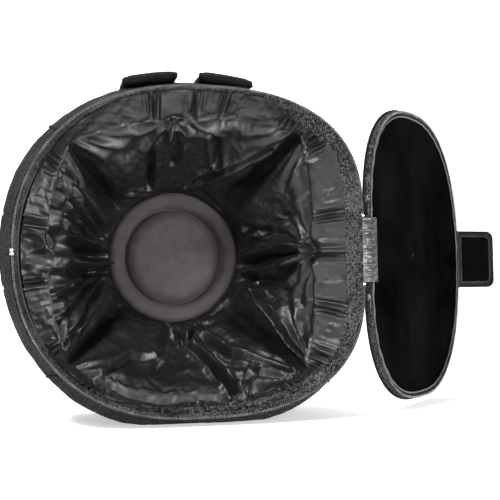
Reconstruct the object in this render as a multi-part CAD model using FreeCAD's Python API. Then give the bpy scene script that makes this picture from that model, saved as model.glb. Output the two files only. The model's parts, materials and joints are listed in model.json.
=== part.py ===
"""Soft carrying bag for a handpan: a round padded backpack with a zip-round lid, standing on its wall.

Units are millimetres. X runs across the mouth towards the lid hinge, Y runs from the mouth to the back
panel, Z is up. The origin is on the flat stretch that the bag stands on, half way along its depth.
"""
import FreeCAD, Part
import math
import os

Vector = FreeCAD.Vector

# ---- Mouth: the line of the zipper, a round outline with a straight hinge side and a straight foot
mouth_half_width = 281.0
mouth_half_height = 264.0
hinge_half_length = 58.0
foot_left = 55.0
foot_right = 90.0
mouth_foot = 0.15         # share of the foot's straight stretch that shows at the mouth
# squareness of each corner: at the mouth, and along the belly
corner_power = {
    "top_left": (2.2, 2.2),
    "top_right": (2.55, 2.55),
    "bottom_right": (2.5, 2.15),
    "bottom_left": (2.25, 1.95),
}

# ---- Body
body_depth = 280.0
belly = 12.0              # how far the filled wall stands out beyond the zipper line
belly_shift = -6.0        # the lid's weight pulls the mouth this far towards the hinge
lip_depth = 14.0          # from the zipper line to where the wall cloth starts
lip_tuck = 4.0
lip_shift = -5.0
shoulder_depth = 50.0     # from the zipper line to the full belly
back_round = 22.0         # depth over which the wall rounds in to the back panel
back_tuck = 12.0
cloth = 1.5
ply_gap = 0.3
wall_foam_thickness = 16.0
back_foam_thickness = 20.0
seam_half_width = 2.5
seam_proud = 1.5
back_piping_size = 5.0

# ---- Mouth trim
facing_depth = 24.0
facing_width = 16.0
facing_reach = max(facing_width, wall_foam_thickness)  # it always covers the foam's front edge
facing_shift = -8.0
facing_thickness = 1.2
coil_size = 2.6
tape_width = 10.0
tape_thickness = 1.0
stop_size = 4.0
end_tab_length = 5.0
end_tab_width = 9.0
end_tab_thickness = 2.5

# ---- Lining: four satin panels hung from chords near the mouth down to the base pad
lining_thickness = 1.0
lining_shift = -5.5
lining_clear = 1.5        # from the lining to the facing and the foam
chord_depth = 45.0
chord_corner_clear = 10.0  # from the wall foam to the ends of the chords
chord_top_clear = 35.0     # from the wall foam's line to the middle of each chord
chord_right_clear = 65.0
chord_bottom_clear = 4.0
chord_left_clear = 43.0
base_seam_clear = 16.0     # from the base pad to the panels' lower corners
base_side_clear = 3.0      # from the base pad to the middle of each lower edge

# ---- Base pad
pad_radius = 116.0
pad_groove_inner = 85.0
pad_groove_width = 2.0
pad_ring_thickness = 15.0
pad_disc_thickness = 17.0

# ---- Lid, described shut, in front of the mouth
hinge_reach = 10.0        # from the zipper line out to the hinge line
zip_half_gap = 0.3
gusset_depth = 14.0
gusset_thickness = 1.4
dome_slope_width = 30.0
dome_slope_rise = 5.0
dome_crown_width = 100.0
dome_crown_rise = 9.0
lid_cloth = 1.2
lid_foam_thickness = 5.0
lid_lining_thickness = 0.8
lid_piping_size = 3.0
lid_piping_proud = 1.0
lid_binding_size = 1.4
web_thickness = 1.4
web_relief = 5.0          # bare stretch of web each side of the hinge line
lid_open_angle = 232.0    # from shut to the way it hangs open

# ---- Closure tab on the lid's far edge
tab_length = 88.0
tab_half_width = 59.0
tab_corner = 14.0
tab_cloth = 2.4
hook_pad_thickness = 1.4
hook_pad_margin = 7.0
tab_binding_width = 6.0
tab_fold_reach = 5.0      # from the zipper line out to the fold line
tab_fold_depth = 8.0      # from the hinge plane forward to the fold line
tab_fold_gap = 2.5
tab_fold_angle = -44.0    # how far the tab leans towards the lining side

# ---- Loop patch on the wall, under the closure tab
patch_start_depth = 54.0
patch_length = 80.0
patch_thickness = 1.5
patch_turn = 0.12         # share of a corner's turn covered above and below the middle

# ---- Zipper sliders
slider_height = 6.5
slider_width = 8.4
slider_length = 12.0
slider_upper_z = 84.0
slider_lower_z = -78.0
slider_clear = 0.8
slider_round = 0.8
cheek_half_length = 2.5
pull_length = 22.0
pull_width = 5.6
pull_half_thickness = 1.5
pull_eye = 1.5            # from the pin's axis to the top of the pull
bridge_pin_radius = 1.0
bridge_clear = 0.05

# ---- Shoulder straps
strap_inner_x = 18.0
strap_width = 88.0
strap_thickness = 15.0
strap_front_depth = 26.0
strap_lift = 1.5
strap_bend = 34.0
strap_back_gap = 20.0      # how far the straps stand off the back panel
strap_drop = 330.0        # from the top of the strap to its lower end
hanger_length = 24.0
strap_web_width = 38.0
strap_web_thickness = 1.8
lock_height = 34.0
lock_width = 50.0
lock_thickness = 6.0
lock_bar = 5.0
slot_clear = 1.0
lower_web_drop = 84.0
anchor_height = 46.0
anchor_thickness = 1.5

mouth_y = -body_depth / 2
back_y = body_depth / 2
mouth_z = mouth_half_height + belly
hinge_x = mouth_half_width + hinge_reach
hinge_y = mouth_y - zip_half_gap
pin_x = mouth_half_width + slider_clear + slider_height - bridge_pin_radius
CURVE_POINTS = 9

CORNERS = {
    "top_left": (-1, 1, 0.0, 0.0),
    "top_right": (1, 1, 0.0, hinge_half_length),
    "bottom_right": (1, -1, foot_right, hinge_half_length),
    "bottom_left": (-1, -1, foot_left, 0.0),
}


def save(name, shape):
    """Write one sub-part."""
    shape.exportStep("parts/" + name + ".step")


# ---------------------------------------------------------------- outline of the mouth and the wall


def outline_point(corner, turn, station):
    """A point of the outline. turn is 0 at the side and 1 at the top or bottom of a corner."""
    y, grow, shift, foot = station
    sign_x, sign_z, start_x, start_z = CORNERS[corner]
    start_x = start_x * foot
    mouth_power, belly_power = corner_power[corner]
    power = 2.0 / (mouth_power + (belly_power - mouth_power) * foot)
    angle = turn * math.pi / 2
    reach_x = mouth_half_width + grow - start_x
    reach_z = mouth_half_height + grow - start_z
    x = sign_x * (start_x + reach_x * max(math.cos(angle), 0.0) ** power)
    z = sign_z * (start_z + reach_z * max(math.sin(angle), 0.0) ** power)
    return Vector(x + shift, y, mouth_z + z)


def corner_curve(corner, turn_a, turn_b, station):
    """A smooth edge along one corner, from one turn to another."""
    turns = [turn_a + (turn_b - turn_a) * i / (CURVE_POINTS - 1) for i in range(CURVE_POINTS)]
    points = [outline_point(corner, t, station) for t in turns]
    step = (turn_b - turn_a) * 0.002
    first = outline_point(corner, turn_a + step, station) - points[0]
    last = points[-1] - outline_point(corner, turn_b - step, station)
    curve = Part.BSplineCurve()
    curve.interpolate(Points=points, InitialTangent=first.normalize(), FinalTangent=last.normalize())
    return curve.toShape()


def run_edges(run, station):
    """Edges along a run of corners, with a straight edge wherever two corners are apart."""
    edges = []
    previous = None
    for corner, turn_a, turn_b in run:
        start = outline_point(corner, turn_a, station)
        if previous is not None and (start - previous).Length > 0.001:
            edges.append(Part.makeLine(previous, start))
        edges.append(corner_curve(corner, turn_a, turn_b, station))
        previous = outline_point(corner, turn_b, station)
    return edges


def run_ends(run, station):
    """First and last point of a run."""
    first = outline_point(run[0][0], run[0][1], station)
    last = outline_point(run[-1][0], run[-1][2], station)
    return first, last


FULL_RUN = [
    ("top_right", 0, 0.5), ("top_right", 0.5, 1), ("top_left", 1, 0.5), ("top_left", 0.5, 0),
    ("bottom_left", 0, 0.5), ("bottom_left", 0.5, 1), ("bottom_right", 1, 0.5), ("bottom_right", 0.5, 0),
]


def side_runs(slot):
    """The four sides of the bag between its corner seams; slot is the bare share of turn at each seam."""
    low = 0.5 - slot
    high = 0.5 + slot
    return {
        "top": [("top_left", high, 1), ("top_right", 1, high)],
        "right": [("top_right", low, 0), ("bottom_right", 0, low)],
        "bottom": [("bottom_right", high, 1), ("bottom_left", 1, high)],
        "left": [("bottom_left", low, 0), ("top_left", 0, low)],
    }


def grown(station, extra):
    """The same station, offset outwards."""
    y, grow, shift, foot = station
    return y, grow + extra, shift, foot


def mouth_station(y, grow=0.0, shift=0.0):
    """A station with the outline that the mouth has."""
    return y, grow, shift, mouth_foot


def closed_outline(station):
    """The whole outline as a closed wire."""
    edges = run_edges(FULL_RUN, station)
    first, last = run_ends(FULL_RUN, station)
    edges.append(Part.makeLine(last, first))
    return Part.Wire(edges)


def strip_profile(run, station, outer, inner):
    """Closed section of a strip that follows a run, between two offsets."""
    outer_first, outer_last = run_ends(run, grown(station, outer))
    inner_first, inner_last = run_ends(run, grown(station, inner))
    edges = run_edges(run, grown(station, outer))
    edges.append(Part.makeLine(outer_last, inner_last))
    edges += reversed(run_edges(run, grown(station, inner)))
    edges.append(Part.makeLine(inner_first, outer_first))
    return Part.Wire(Part.__sortEdges__(edges))


def strip(run, stations, outer, inner):
    """A strip along a run, lofted through stations of (y, grow, shift, foot)."""
    return Part.makeLoft([strip_profile(run, s, outer, inner) for s in stations], True, True)


def solid_outline(stations):
    """A filled solid lofted through stations."""
    return Part.makeLoft([closed_outline(station) for station in stations], True, True)


def ring(station, inset, y_end):
    """A straight ring round the whole outline, from a station to y_end."""
    wires = [closed_outline(station), closed_outline(grown(station, -inset))]
    face = Part.Face(wires, "Part::FaceMakerBullseye")
    return face.extrude(Vector(0, y_end - station[0], 0))


def box_between(x0, x1, y0, y1, z0, z1):
    """A box by its limits, with z counted from the middle of the mouth."""
    size = (x1 - x0, y1 - y0, z1 - z0)
    return Part.makeBox(*size, Vector(x0, y0, mouth_z + z0))


# ---------------------------------------------------------------- body: wall, back and seams

WALL = [
    (mouth_y + lip_depth, -lip_tuck, lip_shift, mouth_foot),
    (mouth_y + shoulder_depth, belly, belly_shift, 1.0),
    (back_y - back_round, belly, belly_shift, 1.0),
    (back_y - cloth - ply_gap, belly - back_tuck, belly_shift, 1.0),
]


def wall_at(y):
    """The station on the wall's outer face at one depth."""
    for low, high in zip(WALL, WALL[1:]):
        if y <= high[0]:
            share = (y - low[0]) / (high[0] - low[0])
            return tuple(a + (b - a) * share for a, b in zip(low, high))
    return WALL[-1]


def wall_stations(y_start, y_end):
    """The wall's stations between two depths, with both ends added."""
    inner = [s for s in WALL if y_start < s[0] < y_end]
    return [wall_at(y_start)] + inner + [wall_at(y_end)]


def make_wall():
    """Outer cloth in four panels, the corner seam pipings, and the foam boards behind the cloth."""
    seam_turn = seam_half_width / (mouth_half_width * math.pi / 2)
    gap_turn = ply_gap / (mouth_half_width * math.pi / 2)
    for side, run in side_runs(seam_turn + gap_turn).items():
        save("wall_panel_" + side, strip(run, WALL, 0.0, -cloth))
    for corner in CORNERS:
        run = [(corner, 0.5 - seam_turn, 0.5 + seam_turn)]
        save("seam_piping_" + corner, strip(run, WALL, seam_proud, -cloth))
    foam_start = mouth_y + facing_depth + cloth
    foam_end = back_y - cloth - 2 * ply_gap - back_foam_thickness
    outer = -cloth - ply_gap
    for side, run in side_runs(gap_turn).items():
        stations = wall_stations(foam_start, foam_end - ply_gap)
        save("wall_foam_" + side, strip(run, stations, outer, outer - wall_foam_thickness))


def make_back():
    """Back panel cloth, the foam board inside it, and the piping round its edge."""
    end_grow = belly - back_tuck
    edge = (back_y - cloth, end_grow, belly_shift, 1.0)
    save("back_panel", solid_outline([edge, (back_y, end_grow, belly_shift, 1.0)]))
    board_end = back_y - cloth - ply_gap
    board_start = board_end - back_foam_thickness
    stations = [grown(s, -cloth - ply_gap) for s in wall_stations(board_start, board_end)]
    save("back_foam", solid_outline(stations))
    piping_edge = grown(edge, ply_gap + back_piping_size)
    save("back_piping", ring(piping_edge, back_piping_size, back_y - cloth + back_piping_size))


def make_mouth_trim():
    """Sloping woven facing inside the zipper, the zipper half sewn to the body, and its metal ends."""
    front = mouth_y + coil_size + ply_gap
    back = mouth_y + facing_depth
    front_grow = -tape_thickness - 2 * ply_gap
    front_station = mouth_station(front, front_grow)
    back_station = mouth_station(back, -facing_reach, facing_shift)
    outer = solid_outline([front_station, back_station])
    slope = (facing_reach + front_grow) / (back - front)
    shift_slope = facing_shift / (back - front)
    inner_front = mouth_station(front - 1.0, front_grow - facing_thickness + slope, -shift_slope)
    inner_grow = -facing_reach - facing_thickness - slope
    inner_back = mouth_station(back + 1.0, inner_grow, facing_shift + shift_slope)
    save("mouth_facing", outer.cut(solid_outline([inner_front, inner_back])))

    coil = strip(FULL_RUN, [mouth_station(mouth_y), mouth_station(mouth_y + coil_size)], 0.0, -coil_size)
    save("zip_coil_body", coil)
    tape_start = mouth_y + coil_size + ply_gap
    tape_grow, tape_shift = -tape_width * slope, tape_width * shift_slope
    tape_end = mouth_station(tape_start + tape_width, tape_grow, tape_shift)
    tape = strip(FULL_RUN, [mouth_station(tape_start), tape_end], 0.0, -tape_thickness)
    save("zip_tape_body", tape)

    stops = []
    for sign in (-1, 1):
        near = sign * (hinge_half_length - stop_size)
        far = sign * (hinge_half_length - ply_gap)
        low, high = min(near, far), max(near, far)
        stops.append(box_between(mouth_half_width - coil_size, mouth_half_width, mouth_y,
                                 mouth_y + coil_size, low, high))
    for low in (ply_gap, -ply_gap - stop_size):
        stops.append(box_between(-mouth_half_width - stop_size / 2, -mouth_half_width - ply_gap,
                                 mouth_y, mouth_y + coil_size, low, low + stop_size))
    save("zip_end_stops", Part.makeCompound(stops))

    tab_x = -mouth_half_width - ply_gap
    tab_y = mouth_y + coil_size + ply_gap
    tab = box_between(tab_x - end_tab_length, tab_x, tab_y, tab_y + end_tab_thickness,
                      -end_tab_width / 2, end_tab_width / 2)
    save("zip_end_tab", tab)


def make_loop_patch():
    """Soft loop patch that the closure tab presses onto, on the wall opposite the hinge."""
    run = [("bottom_left", patch_turn, 0), ("top_left", 0, patch_turn)]
    start = mouth_y + patch_start_depth
    stations = wall_stations(start, start + patch_length)
    save("loop_patch", strip(run, stations, ply_gap + patch_thickness, ply_gap))


# ---------------------------------------------------------------- lining and base pad


def side_spline(run, station):
    """One smooth edge along a whole side."""
    points = []
    for corner, turn_a, turn_b in run:
        piece = [outline_point(corner, turn_a + (turn_b - turn_a) * i / 5, station) for i in range(6)]
        points += piece if not points or (piece[0] - points[-1]).Length > 0.001 else piece[1:]
    curve = Part.BSplineCurve()
    curve.interpolate(points)
    return curve.toShape()


def arc_edge(first, middle, last):
    """An arc through three points."""
    return Part.Arc(first, middle, last).toShape()


def sheet_between(edge_a, edge_b, outward):
    """A thin sheet stretched between two edges."""
    return Part.makeRuledSurface(edge_a, edge_b).extrude(outward * lining_thickness)


def make_lining():
    """Four sloped satin panels, and the four gathered segments between them and the mouth."""
    rim_y = mouth_y + facing_depth + 2 * ply_gap
    chord_y = mouth_y + chord_depth
    base_y = back_y - cloth - 2 * ply_gap - back_foam_thickness - lining_thickness
    outward = {
        "top": Vector(0, 0, 1),
        "right": Vector(1, 0, 0),
        "bottom": Vector(0, 0, -1),
        "left": Vector(-1, 0, 0),
    }
    free_width = mouth_half_width - wall_foam_thickness
    free_height = mouth_half_height - wall_foam_thickness
    chord_reach = {
        "top": free_height - chord_top_clear,
        "right": free_width - chord_right_clear,
        "bottom": free_height - chord_bottom_clear,
        "left": free_width - chord_left_clear,
    }
    chord_tuck = wall_foam_thickness + chord_corner_clear
    base_seam_radius = pad_radius + base_seam_clear
    base_side_radius = pad_radius + base_side_clear
    rim_grow = -facing_reach - facing_thickness - lining_thickness - lining_clear
    middle = Vector(0, 0, mouth_z)
    for side, run in side_runs(0.0).items():
        first, last = run_ends(run, mouth_station(chord_y, -chord_tuck, lining_shift))
        chord_middle = middle + outward[side] * chord_reach[side] + Vector(0, chord_y, 0)
        chord = arc_edge(first, chord_middle, last)
        rim = side_spline(run, mouth_station(rim_y, rim_grow, lining_shift))
        save("lining_edge_" + side, sheet_between(rim, chord, outward[side]))
        base_ends = []
        for point in (first, last):
            across = Vector(point.x, 0, point.z - mouth_z).normalize() * base_seam_radius
            base_ends.append(middle + across + Vector(0, base_y, 0))
        base_middle = middle + outward[side] * base_side_radius + Vector(0, base_y, 0)
        base = arc_edge(base_ends[0], base_middle, base_ends[1])
        save("lining_panel_" + side, sheet_between(chord, base, outward[side]))


def disc(radius, thickness, y_back):
    """A flat disc facing the mouth, centred on the bag's axis."""
    return Part.makeCylinder(radius, thickness, Vector(0, y_back - thickness, mouth_z), Vector(0, 1, 0))


def make_base_pad():
    """Felt-covered pad in the bottom of the bag: a ring, a groove and a slightly raised disc."""
    seat_y = back_y - cloth - 2 * ply_gap - back_foam_thickness
    groove_outer = pad_groove_inner + pad_groove_width
    ring_blank = disc(pad_radius, pad_ring_thickness, seat_y)
    ring_hole = disc(groove_outer, pad_ring_thickness, seat_y)
    save("base_pad_ring", ring_blank.cut(ring_hole))
    save("base_pad_disc", disc(pad_groove_inner, pad_disc_thickness, seat_y))


# ---------------------------------------------------------------- shoulder straps


def strap_section(inner, outer, y_front, z_end):
    """Side view of a strap that lies along the top wall, bends over the back edge and hangs down."""
    top_z = mouth_z + mouth_half_height + belly + strap_lift
    bend_y = back_y + strap_back_gap - strap_bend
    bend_z = top_z - strap_bend
    corner = math.sqrt(0.5)
    near = strap_bend + inner
    far = strap_bend + outer

    def at(y, z):
        return Vector(0, y, z)

    edges = [
        Part.makeLine(at(y_front, bend_z + near), at(bend_y, bend_z + near)),
        arc_edge(at(bend_y, bend_z + near), at(bend_y + near * corner, bend_z + near * corner),
                 at(bend_y + near, bend_z)),
        Part.makeLine(at(bend_y + near, bend_z), at(bend_y + near, z_end)),
        Part.makeLine(at(bend_y + near, z_end), at(bend_y + far, z_end)),
        Part.makeLine(at(bend_y + far, z_end), at(bend_y + far, bend_z)),
        arc_edge(at(bend_y + far, bend_z), at(bend_y + far * corner, bend_z + far * corner),
                 at(bend_y, bend_z + far)),
        Part.makeLine(at(bend_y, bend_z + far), at(y_front, bend_z + far)),
        Part.makeLine(at(y_front, bend_z + far), at(y_front, bend_z + near)),
    ]
    return Part.Face(Part.Wire(edges))


def ladder_lock(centre_x, centre_y, top_z):
    """A plastic frame with two slots that grips the webbing."""
    corner = Vector(centre_x - lock_width / 2, centre_y - lock_thickness / 2, top_z - lock_height)
    frame = Part.makeBox(lock_width, lock_thickness, lock_height, corner)
    slot_height = (lock_height - 3 * lock_bar) / 2
    slot_width = strap_web_width + 2 * slot_clear
    for low in (lock_bar, 2 * lock_bar + slot_height):
        corner = Vector(centre_x - slot_width / 2, centre_y - lock_thickness / 2, top_z - lock_height + low)
        frame = frame.cut(Part.makeBox(slot_width, lock_thickness, slot_height, corner))
    return frame


def make_strap(name, sign):
    """One padded strap over the top of the bag, with its webbing and ladder lock down the back panel."""
    end_z = mouth_z + mouth_half_height + belly + strap_lift - strap_drop
    centre_x = sign * (strap_inner_x + strap_width / 2)
    plane_y = back_y + strap_back_gap + strap_thickness / 2
    web_x = centre_x - strap_web_width / 2
    face = strap_section(0.0, strap_thickness, mouth_y + strap_front_depth, end_z)
    face.translate(Vector(sign * strap_inner_x, 0, 0))
    save("shoulder_strap_" + name, face.extrude(Vector(sign * strap_width, 0, 0)))

    lock_top = end_z - hanger_length
    hanger = Part.makeBox(strap_web_width, strap_web_thickness, hanger_length - 2 * ply_gap,
                          Vector(web_x, plane_y - strap_web_thickness / 2, lock_top + ply_gap))
    save("strap_hanger_" + name, hanger)
    save("ladder_lock_" + name, ladder_lock(centre_x, plane_y, lock_top))

    web_top = Vector(web_x, plane_y, lock_top - lock_height - ply_gap)
    web_low = Vector(web_x, back_y + anchor_thickness + ply_gap, web_top.z - lower_web_drop)
    across = Vector(strap_web_width, 0, 0)
    depth = Vector(0, strap_web_thickness, 0)
    section = Part.makePolygon([web_top, web_low, web_low + depth, web_top + depth, web_top])
    save("strap_webbing_" + name, Part.Face(section).extrude(across))
    anchor_corner = Vector(centre_x - lock_width / 2, back_y + ply_gap, web_low.z - anchor_height / 2)
    anchor = Part.makeBox(lock_width, anchor_thickness - ply_gap, anchor_height, anchor_corner)
    save("strap_anchor_" + name, anchor)


# ---------------------------------------------------------------- zipper sliders


def make_slider(name, z):
    """A slider body with its bridge pin, and the pull that hangs on the pin."""
    x0 = mouth_half_width + slider_clear
    x1 = x0 + slider_height / 2
    half_width = slider_width / 2
    body = box_between(x0, x1, hinge_y - half_width, hinge_y + half_width,
                       z - slider_length / 2, z + slider_length / 2)
    body = body.makeFillet(slider_round, body.Edges)
    along = Vector(0, 1, 0)
    pin_end = Vector(pin_x, hinge_y - half_width, mouth_z + z)
    pin = Part.makeCylinder(bridge_pin_radius, slider_width, pin_end, along)
    cheek = (slider_width - pull_width) / 2 - 2 * ply_gap
    for y in (hinge_y - half_width, hinge_y + half_width - cheek):
        body = body.fuse(box_between(x1 - slider_round, pin_x + bridge_pin_radius, y, y + cheek,
                                     z - cheek_half_length, z + cheek_half_length))
    save("zip_slider_" + name, body.fuse(pin).removeSplitter())

    half_pull = pull_width / 2
    pull = box_between(pin_x - pull_half_thickness, pin_x + pull_half_thickness,
                       hinge_y - half_pull, hinge_y + half_pull, z - pull_length, z + pull_eye)
    hole = Part.makeCylinder(bridge_pin_radius + bridge_clear, slider_width,
                             Vector(pin_x, hinge_y - half_width, mouth_z + z), along)
    save("zip_pull_" + name, pull.cut(hole))


# ---------------------------------------------------------------- lid


def swing_open(shape):
    """Turn a shape of the shut lid to the way the lid hangs open."""
    turned = shape.copy()
    turned.rotate(Vector(hinge_x, hinge_y, 0), Vector(0, 0, 1), lid_open_angle)
    return turned


def lid_y(depth):
    """Y of a depth counted forwards from the hinge plane, with the lid shut."""
    return hinge_y - depth


def dome(depth, inset):
    """Solid under the domed lid surface; depth is where its edge is, and it reaches back to the mouth."""
    return [
        mouth_station(lid_y(depth), -inset),
        mouth_station(lid_y(depth + dome_slope_rise), -inset - dome_slope_width),
        mouth_station(lid_y(depth + dome_crown_rise), -inset - dome_crown_width),
    ]


def dome_shell(depth, thickness, inset):
    """A domed sheet of even thickness."""
    return solid_outline(dome(depth, inset)).cut(solid_outline(dome(depth - thickness, inset)))


def make_lid():
    """Domed lid: cloth, foam, lining, gusset and piping, with its half of the zipper and hinge web."""
    save("lid_outer", swing_open(dome_shell(gusset_depth, lid_cloth, 0.0)))
    foam_depth = gusset_depth - lid_cloth - ply_gap
    inset = gusset_thickness + ply_gap
    save("lid_foam", swing_open(dome_shell(foam_depth, lid_foam_thickness, inset)))
    lining_depth = foam_depth - lid_foam_thickness - ply_gap
    save("lid_lining", swing_open(dome_shell(lining_depth, lid_lining_thickness, inset)))

    gusset_start = zip_half_gap + coil_size + ply_gap
    gusset = ring(mouth_station(lid_y(gusset_depth - ply_gap)), gusset_thickness, lid_y(gusset_start))
    save("lid_gusset", swing_open(gusset))
    piping_front = mouth_station(lid_y(gusset_depth + lid_piping_proud), ply_gap + lid_piping_size)
    save("lid_piping", swing_open(ring(piping_front, lid_piping_size, piping_front[0] + lid_piping_size)))
    binding_depth = lining_depth - lid_lining_thickness - ply_gap
    binding_front = mouth_station(lid_y(binding_depth), -inset - tape_thickness - ply_gap)
    binding = ring(binding_front, lid_binding_size, lid_y(gusset_start))
    save("lid_seam_binding", swing_open(binding))

    coil_ends = [mouth_station(lid_y(zip_half_gap + coil_size)), mouth_station(lid_y(zip_half_gap))]
    save("zip_coil_lid", swing_open(strip(FULL_RUN, coil_ends, 0.0, -coil_size)))
    tape_ends = [mouth_station(lid_y(binding_depth)), mouth_station(lid_y(gusset_start))]
    save("zip_tape_lid", swing_open(strip(FULL_RUN, tape_ends, -inset, -inset - tape_thickness)))

    web_length = hinge_half_length - ply_gap - stop_size
    web_end = hinge_x - web_relief
    web_y = lid_y(zip_half_gap + coil_size)
    lid_web = box_between(mouth_half_width - gusset_thickness, web_end, web_y, web_y + web_thickness,
                          -web_length, web_length)
    save("hinge_web_lid", swing_open(lid_web))
    body_web = box_between(mouth_half_width - coil_size, web_end, mouth_y + ply_gap,
                           mouth_y + ply_gap + web_thickness, -web_length, web_length)
    save("hinge_web_body", body_web)


def rounded_tab(length, half_width, radius, thickness):
    """A tab that sticks out along -X from the fold line, with rounded outer corners."""
    corner = radius * (1 - math.sqrt(0.5))
    edges = [
        Part.makeLine(Vector(0, 0, -half_width), Vector(-length + radius, 0, -half_width)),
        arc_edge(Vector(-length + radius, 0, -half_width), Vector(-length + corner, 0, -half_width + corner),
                 Vector(-length, 0, -half_width + radius)),
        Part.makeLine(Vector(-length, 0, -half_width + radius), Vector(-length, 0, half_width - radius)),
        arc_edge(Vector(-length, 0, half_width - radius), Vector(-length + corner, 0, half_width - corner),
                 Vector(-length + radius, 0, half_width)),
        Part.makeLine(Vector(-length + radius, 0, half_width), Vector(0, 0, half_width)),
        Part.makeLine(Vector(0, 0, half_width), Vector(0, 0, -half_width)),
    ]
    return Part.Face(Part.Wire(edges)).extrude(Vector(0, thickness, 0))


def place_tab(shape):
    """Move a tab piece from the fold line to the lid's far edge, lean it, and swing it with the lid."""
    fold = Vector(-mouth_half_width - tab_fold_reach, lid_y(tab_fold_depth), mouth_z)
    placed = shape.copy()
    placed.translate(fold)
    placed.rotate(fold, Vector(0, 0, 1), tab_fold_angle)
    return swing_open(placed)


def make_closure_tab():
    """Tab that folds over the shut zipper: cloth, a hook pad on its inner face, and its edge binding."""
    blank = rounded_tab(tab_length, tab_half_width, tab_corner, tab_cloth)
    blank.translate(Vector(-tab_fold_gap, -tab_cloth / 2, 0))
    inner = rounded_tab(tab_length - tab_binding_width, tab_half_width - tab_binding_width,
                        tab_corner - tab_binding_width / 2, tab_cloth)
    inner.translate(Vector(-tab_fold_gap, -tab_cloth / 2, 0))
    save("closure_tab", place_tab(inner))
    save("closure_tab_binding", place_tab(blank.cut(inner)))
    hook_length = tab_length - 2 * hook_pad_margin - tab_binding_width
    hook_half_width = tab_half_width - hook_pad_margin - tab_binding_width
    hook = rounded_tab(hook_length, hook_half_width, tab_corner / 2, hook_pad_thickness)
    hook.translate(Vector(-tab_fold_gap - hook_pad_margin, tab_cloth / 2 + ply_gap / 10, 0))
    save("closure_tab_hooks", place_tab(hook))


def report_joints():
    """Print the pivots in metres, as the record states them."""
    angle = math.radians(lid_open_angle)
    local_x = -mouth_half_width - tab_fold_reach - hinge_x
    local_y = lid_y(tab_fold_depth) - hinge_y
    fold_x = hinge_x + local_x * math.cos(angle) - local_y * math.sin(angle)
    fold_y = hinge_y + local_x * math.sin(angle) + local_y * math.cos(angle)
    print("lid hinge", hinge_x / 1000, hinge_y / 1000, mouth_z / 1000)
    print("tab fold", fold_x / 1000, fold_y / 1000, mouth_z / 1000)
    print("upper pull", pin_x / 1000, hinge_y / 1000, (mouth_z + slider_upper_z) / 1000)
    print("lower pull", pin_x / 1000, hinge_y / 1000, (mouth_z + slider_lower_z) / 1000)


def main():
    os.makedirs("parts", exist_ok=True)
    make_wall()
    make_back()
    make_mouth_trim()
    make_loop_patch()
    make_lining()
    make_base_pad()
    make_strap("left", -1)
    make_strap("right", 1)
    make_slider("upper", slider_upper_z)
    make_slider("lower", slider_lower_z)
    make_lid()
    make_closure_tab()
    report_joints()


main()
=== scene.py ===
"""Looks of a handpan carrying bag: an open, padded, satin-lined round backpack with its lid swung back."""
import bmesh
import bpy
import json
import math
import numpy as np
from mathutils import Matrix, Vector


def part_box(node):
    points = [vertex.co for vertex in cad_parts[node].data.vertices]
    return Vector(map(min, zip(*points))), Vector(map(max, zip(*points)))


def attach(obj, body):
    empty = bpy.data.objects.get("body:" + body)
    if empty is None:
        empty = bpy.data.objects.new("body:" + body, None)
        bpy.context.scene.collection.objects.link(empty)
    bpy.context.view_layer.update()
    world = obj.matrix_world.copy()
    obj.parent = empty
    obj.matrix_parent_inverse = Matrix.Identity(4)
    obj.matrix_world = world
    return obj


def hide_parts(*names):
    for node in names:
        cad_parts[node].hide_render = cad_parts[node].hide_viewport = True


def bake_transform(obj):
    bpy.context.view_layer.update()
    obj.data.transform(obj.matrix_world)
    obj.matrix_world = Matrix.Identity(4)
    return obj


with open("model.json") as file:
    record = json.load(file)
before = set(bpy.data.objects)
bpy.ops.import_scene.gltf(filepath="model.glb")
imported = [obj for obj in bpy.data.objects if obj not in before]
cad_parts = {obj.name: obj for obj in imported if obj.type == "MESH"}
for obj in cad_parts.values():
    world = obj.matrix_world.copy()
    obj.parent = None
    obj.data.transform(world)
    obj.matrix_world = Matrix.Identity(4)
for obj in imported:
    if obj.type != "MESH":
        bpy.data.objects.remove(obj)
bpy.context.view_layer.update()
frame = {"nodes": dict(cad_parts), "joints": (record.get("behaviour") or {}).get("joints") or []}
MM = 0.001
UP_Y = np.array([0, 1.0, 0])


def box(node):
    """Low and high corner of a CAD node's box."""
    return np.array(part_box(node))


def unit(vectors):
    """The same vectors with a length of one."""
    return vectors / np.linalg.norm(vectors, axis=-1, keepdims=True)


# ---------------------------------------------------------------- measures read from the frame

coil_low, coil_high = box("zip_coil_body")
HALF_W = (coil_high[0] - coil_low[0]) / 2
HALF_H = (coil_high[2] - coil_low[2]) / 2
MID_Z = (coil_high[2] + coil_low[2]) / 2
MOUTH_Y = coil_low[1]
BACK_Y = box("back_panel")[1][1]
WALL_Y = box("wall_panel_top")[0][1]
FLOOR_Z = 0.0
JOINTS = {joint["name"]: joint for joint in frame["joints"]}
HINGE = np.array(JOINTS["lid_hinge"]["pos_m"])
HINGE_FOOT = HINGE * np.array([1, 1, 0])
OPEN_ANGLE = math.radians(232.0)

# the outline: sign x, sign z, straight stretch in x, straight stretch in z
CORNERS = {
    "top_left": (-1, 1, 0.0, 0.0),
    "top_right": (1, 1, 0.0, 58 * MM),
    "bottom_right": (1, -1, 90 * MM, 58 * MM),
    "bottom_left": (-1, -1, 55 * MM, 0.0),
}
# superellipse power of each corner, at the mouth and at the belly
POWERS = {
    "top_left": (2.2, 2.2),
    "top_right": (2.55, 2.55),
    "bottom_right": (2.5, 2.15),
    "bottom_left": (2.25, 1.95),
}
SIDES = {
    "top": [("top_left", 0.5, 1), ("top_right", 1, 0.5)],
    "right": [("top_right", 0.5, 0), ("bottom_right", 0, 0.5)],
    "bottom": [("bottom_right", 0.5, 1), ("bottom_left", 1, 0.5)],
    "left": [("bottom_left", 0.5, 0), ("top_left", 0, 0.5)],
}
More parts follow.
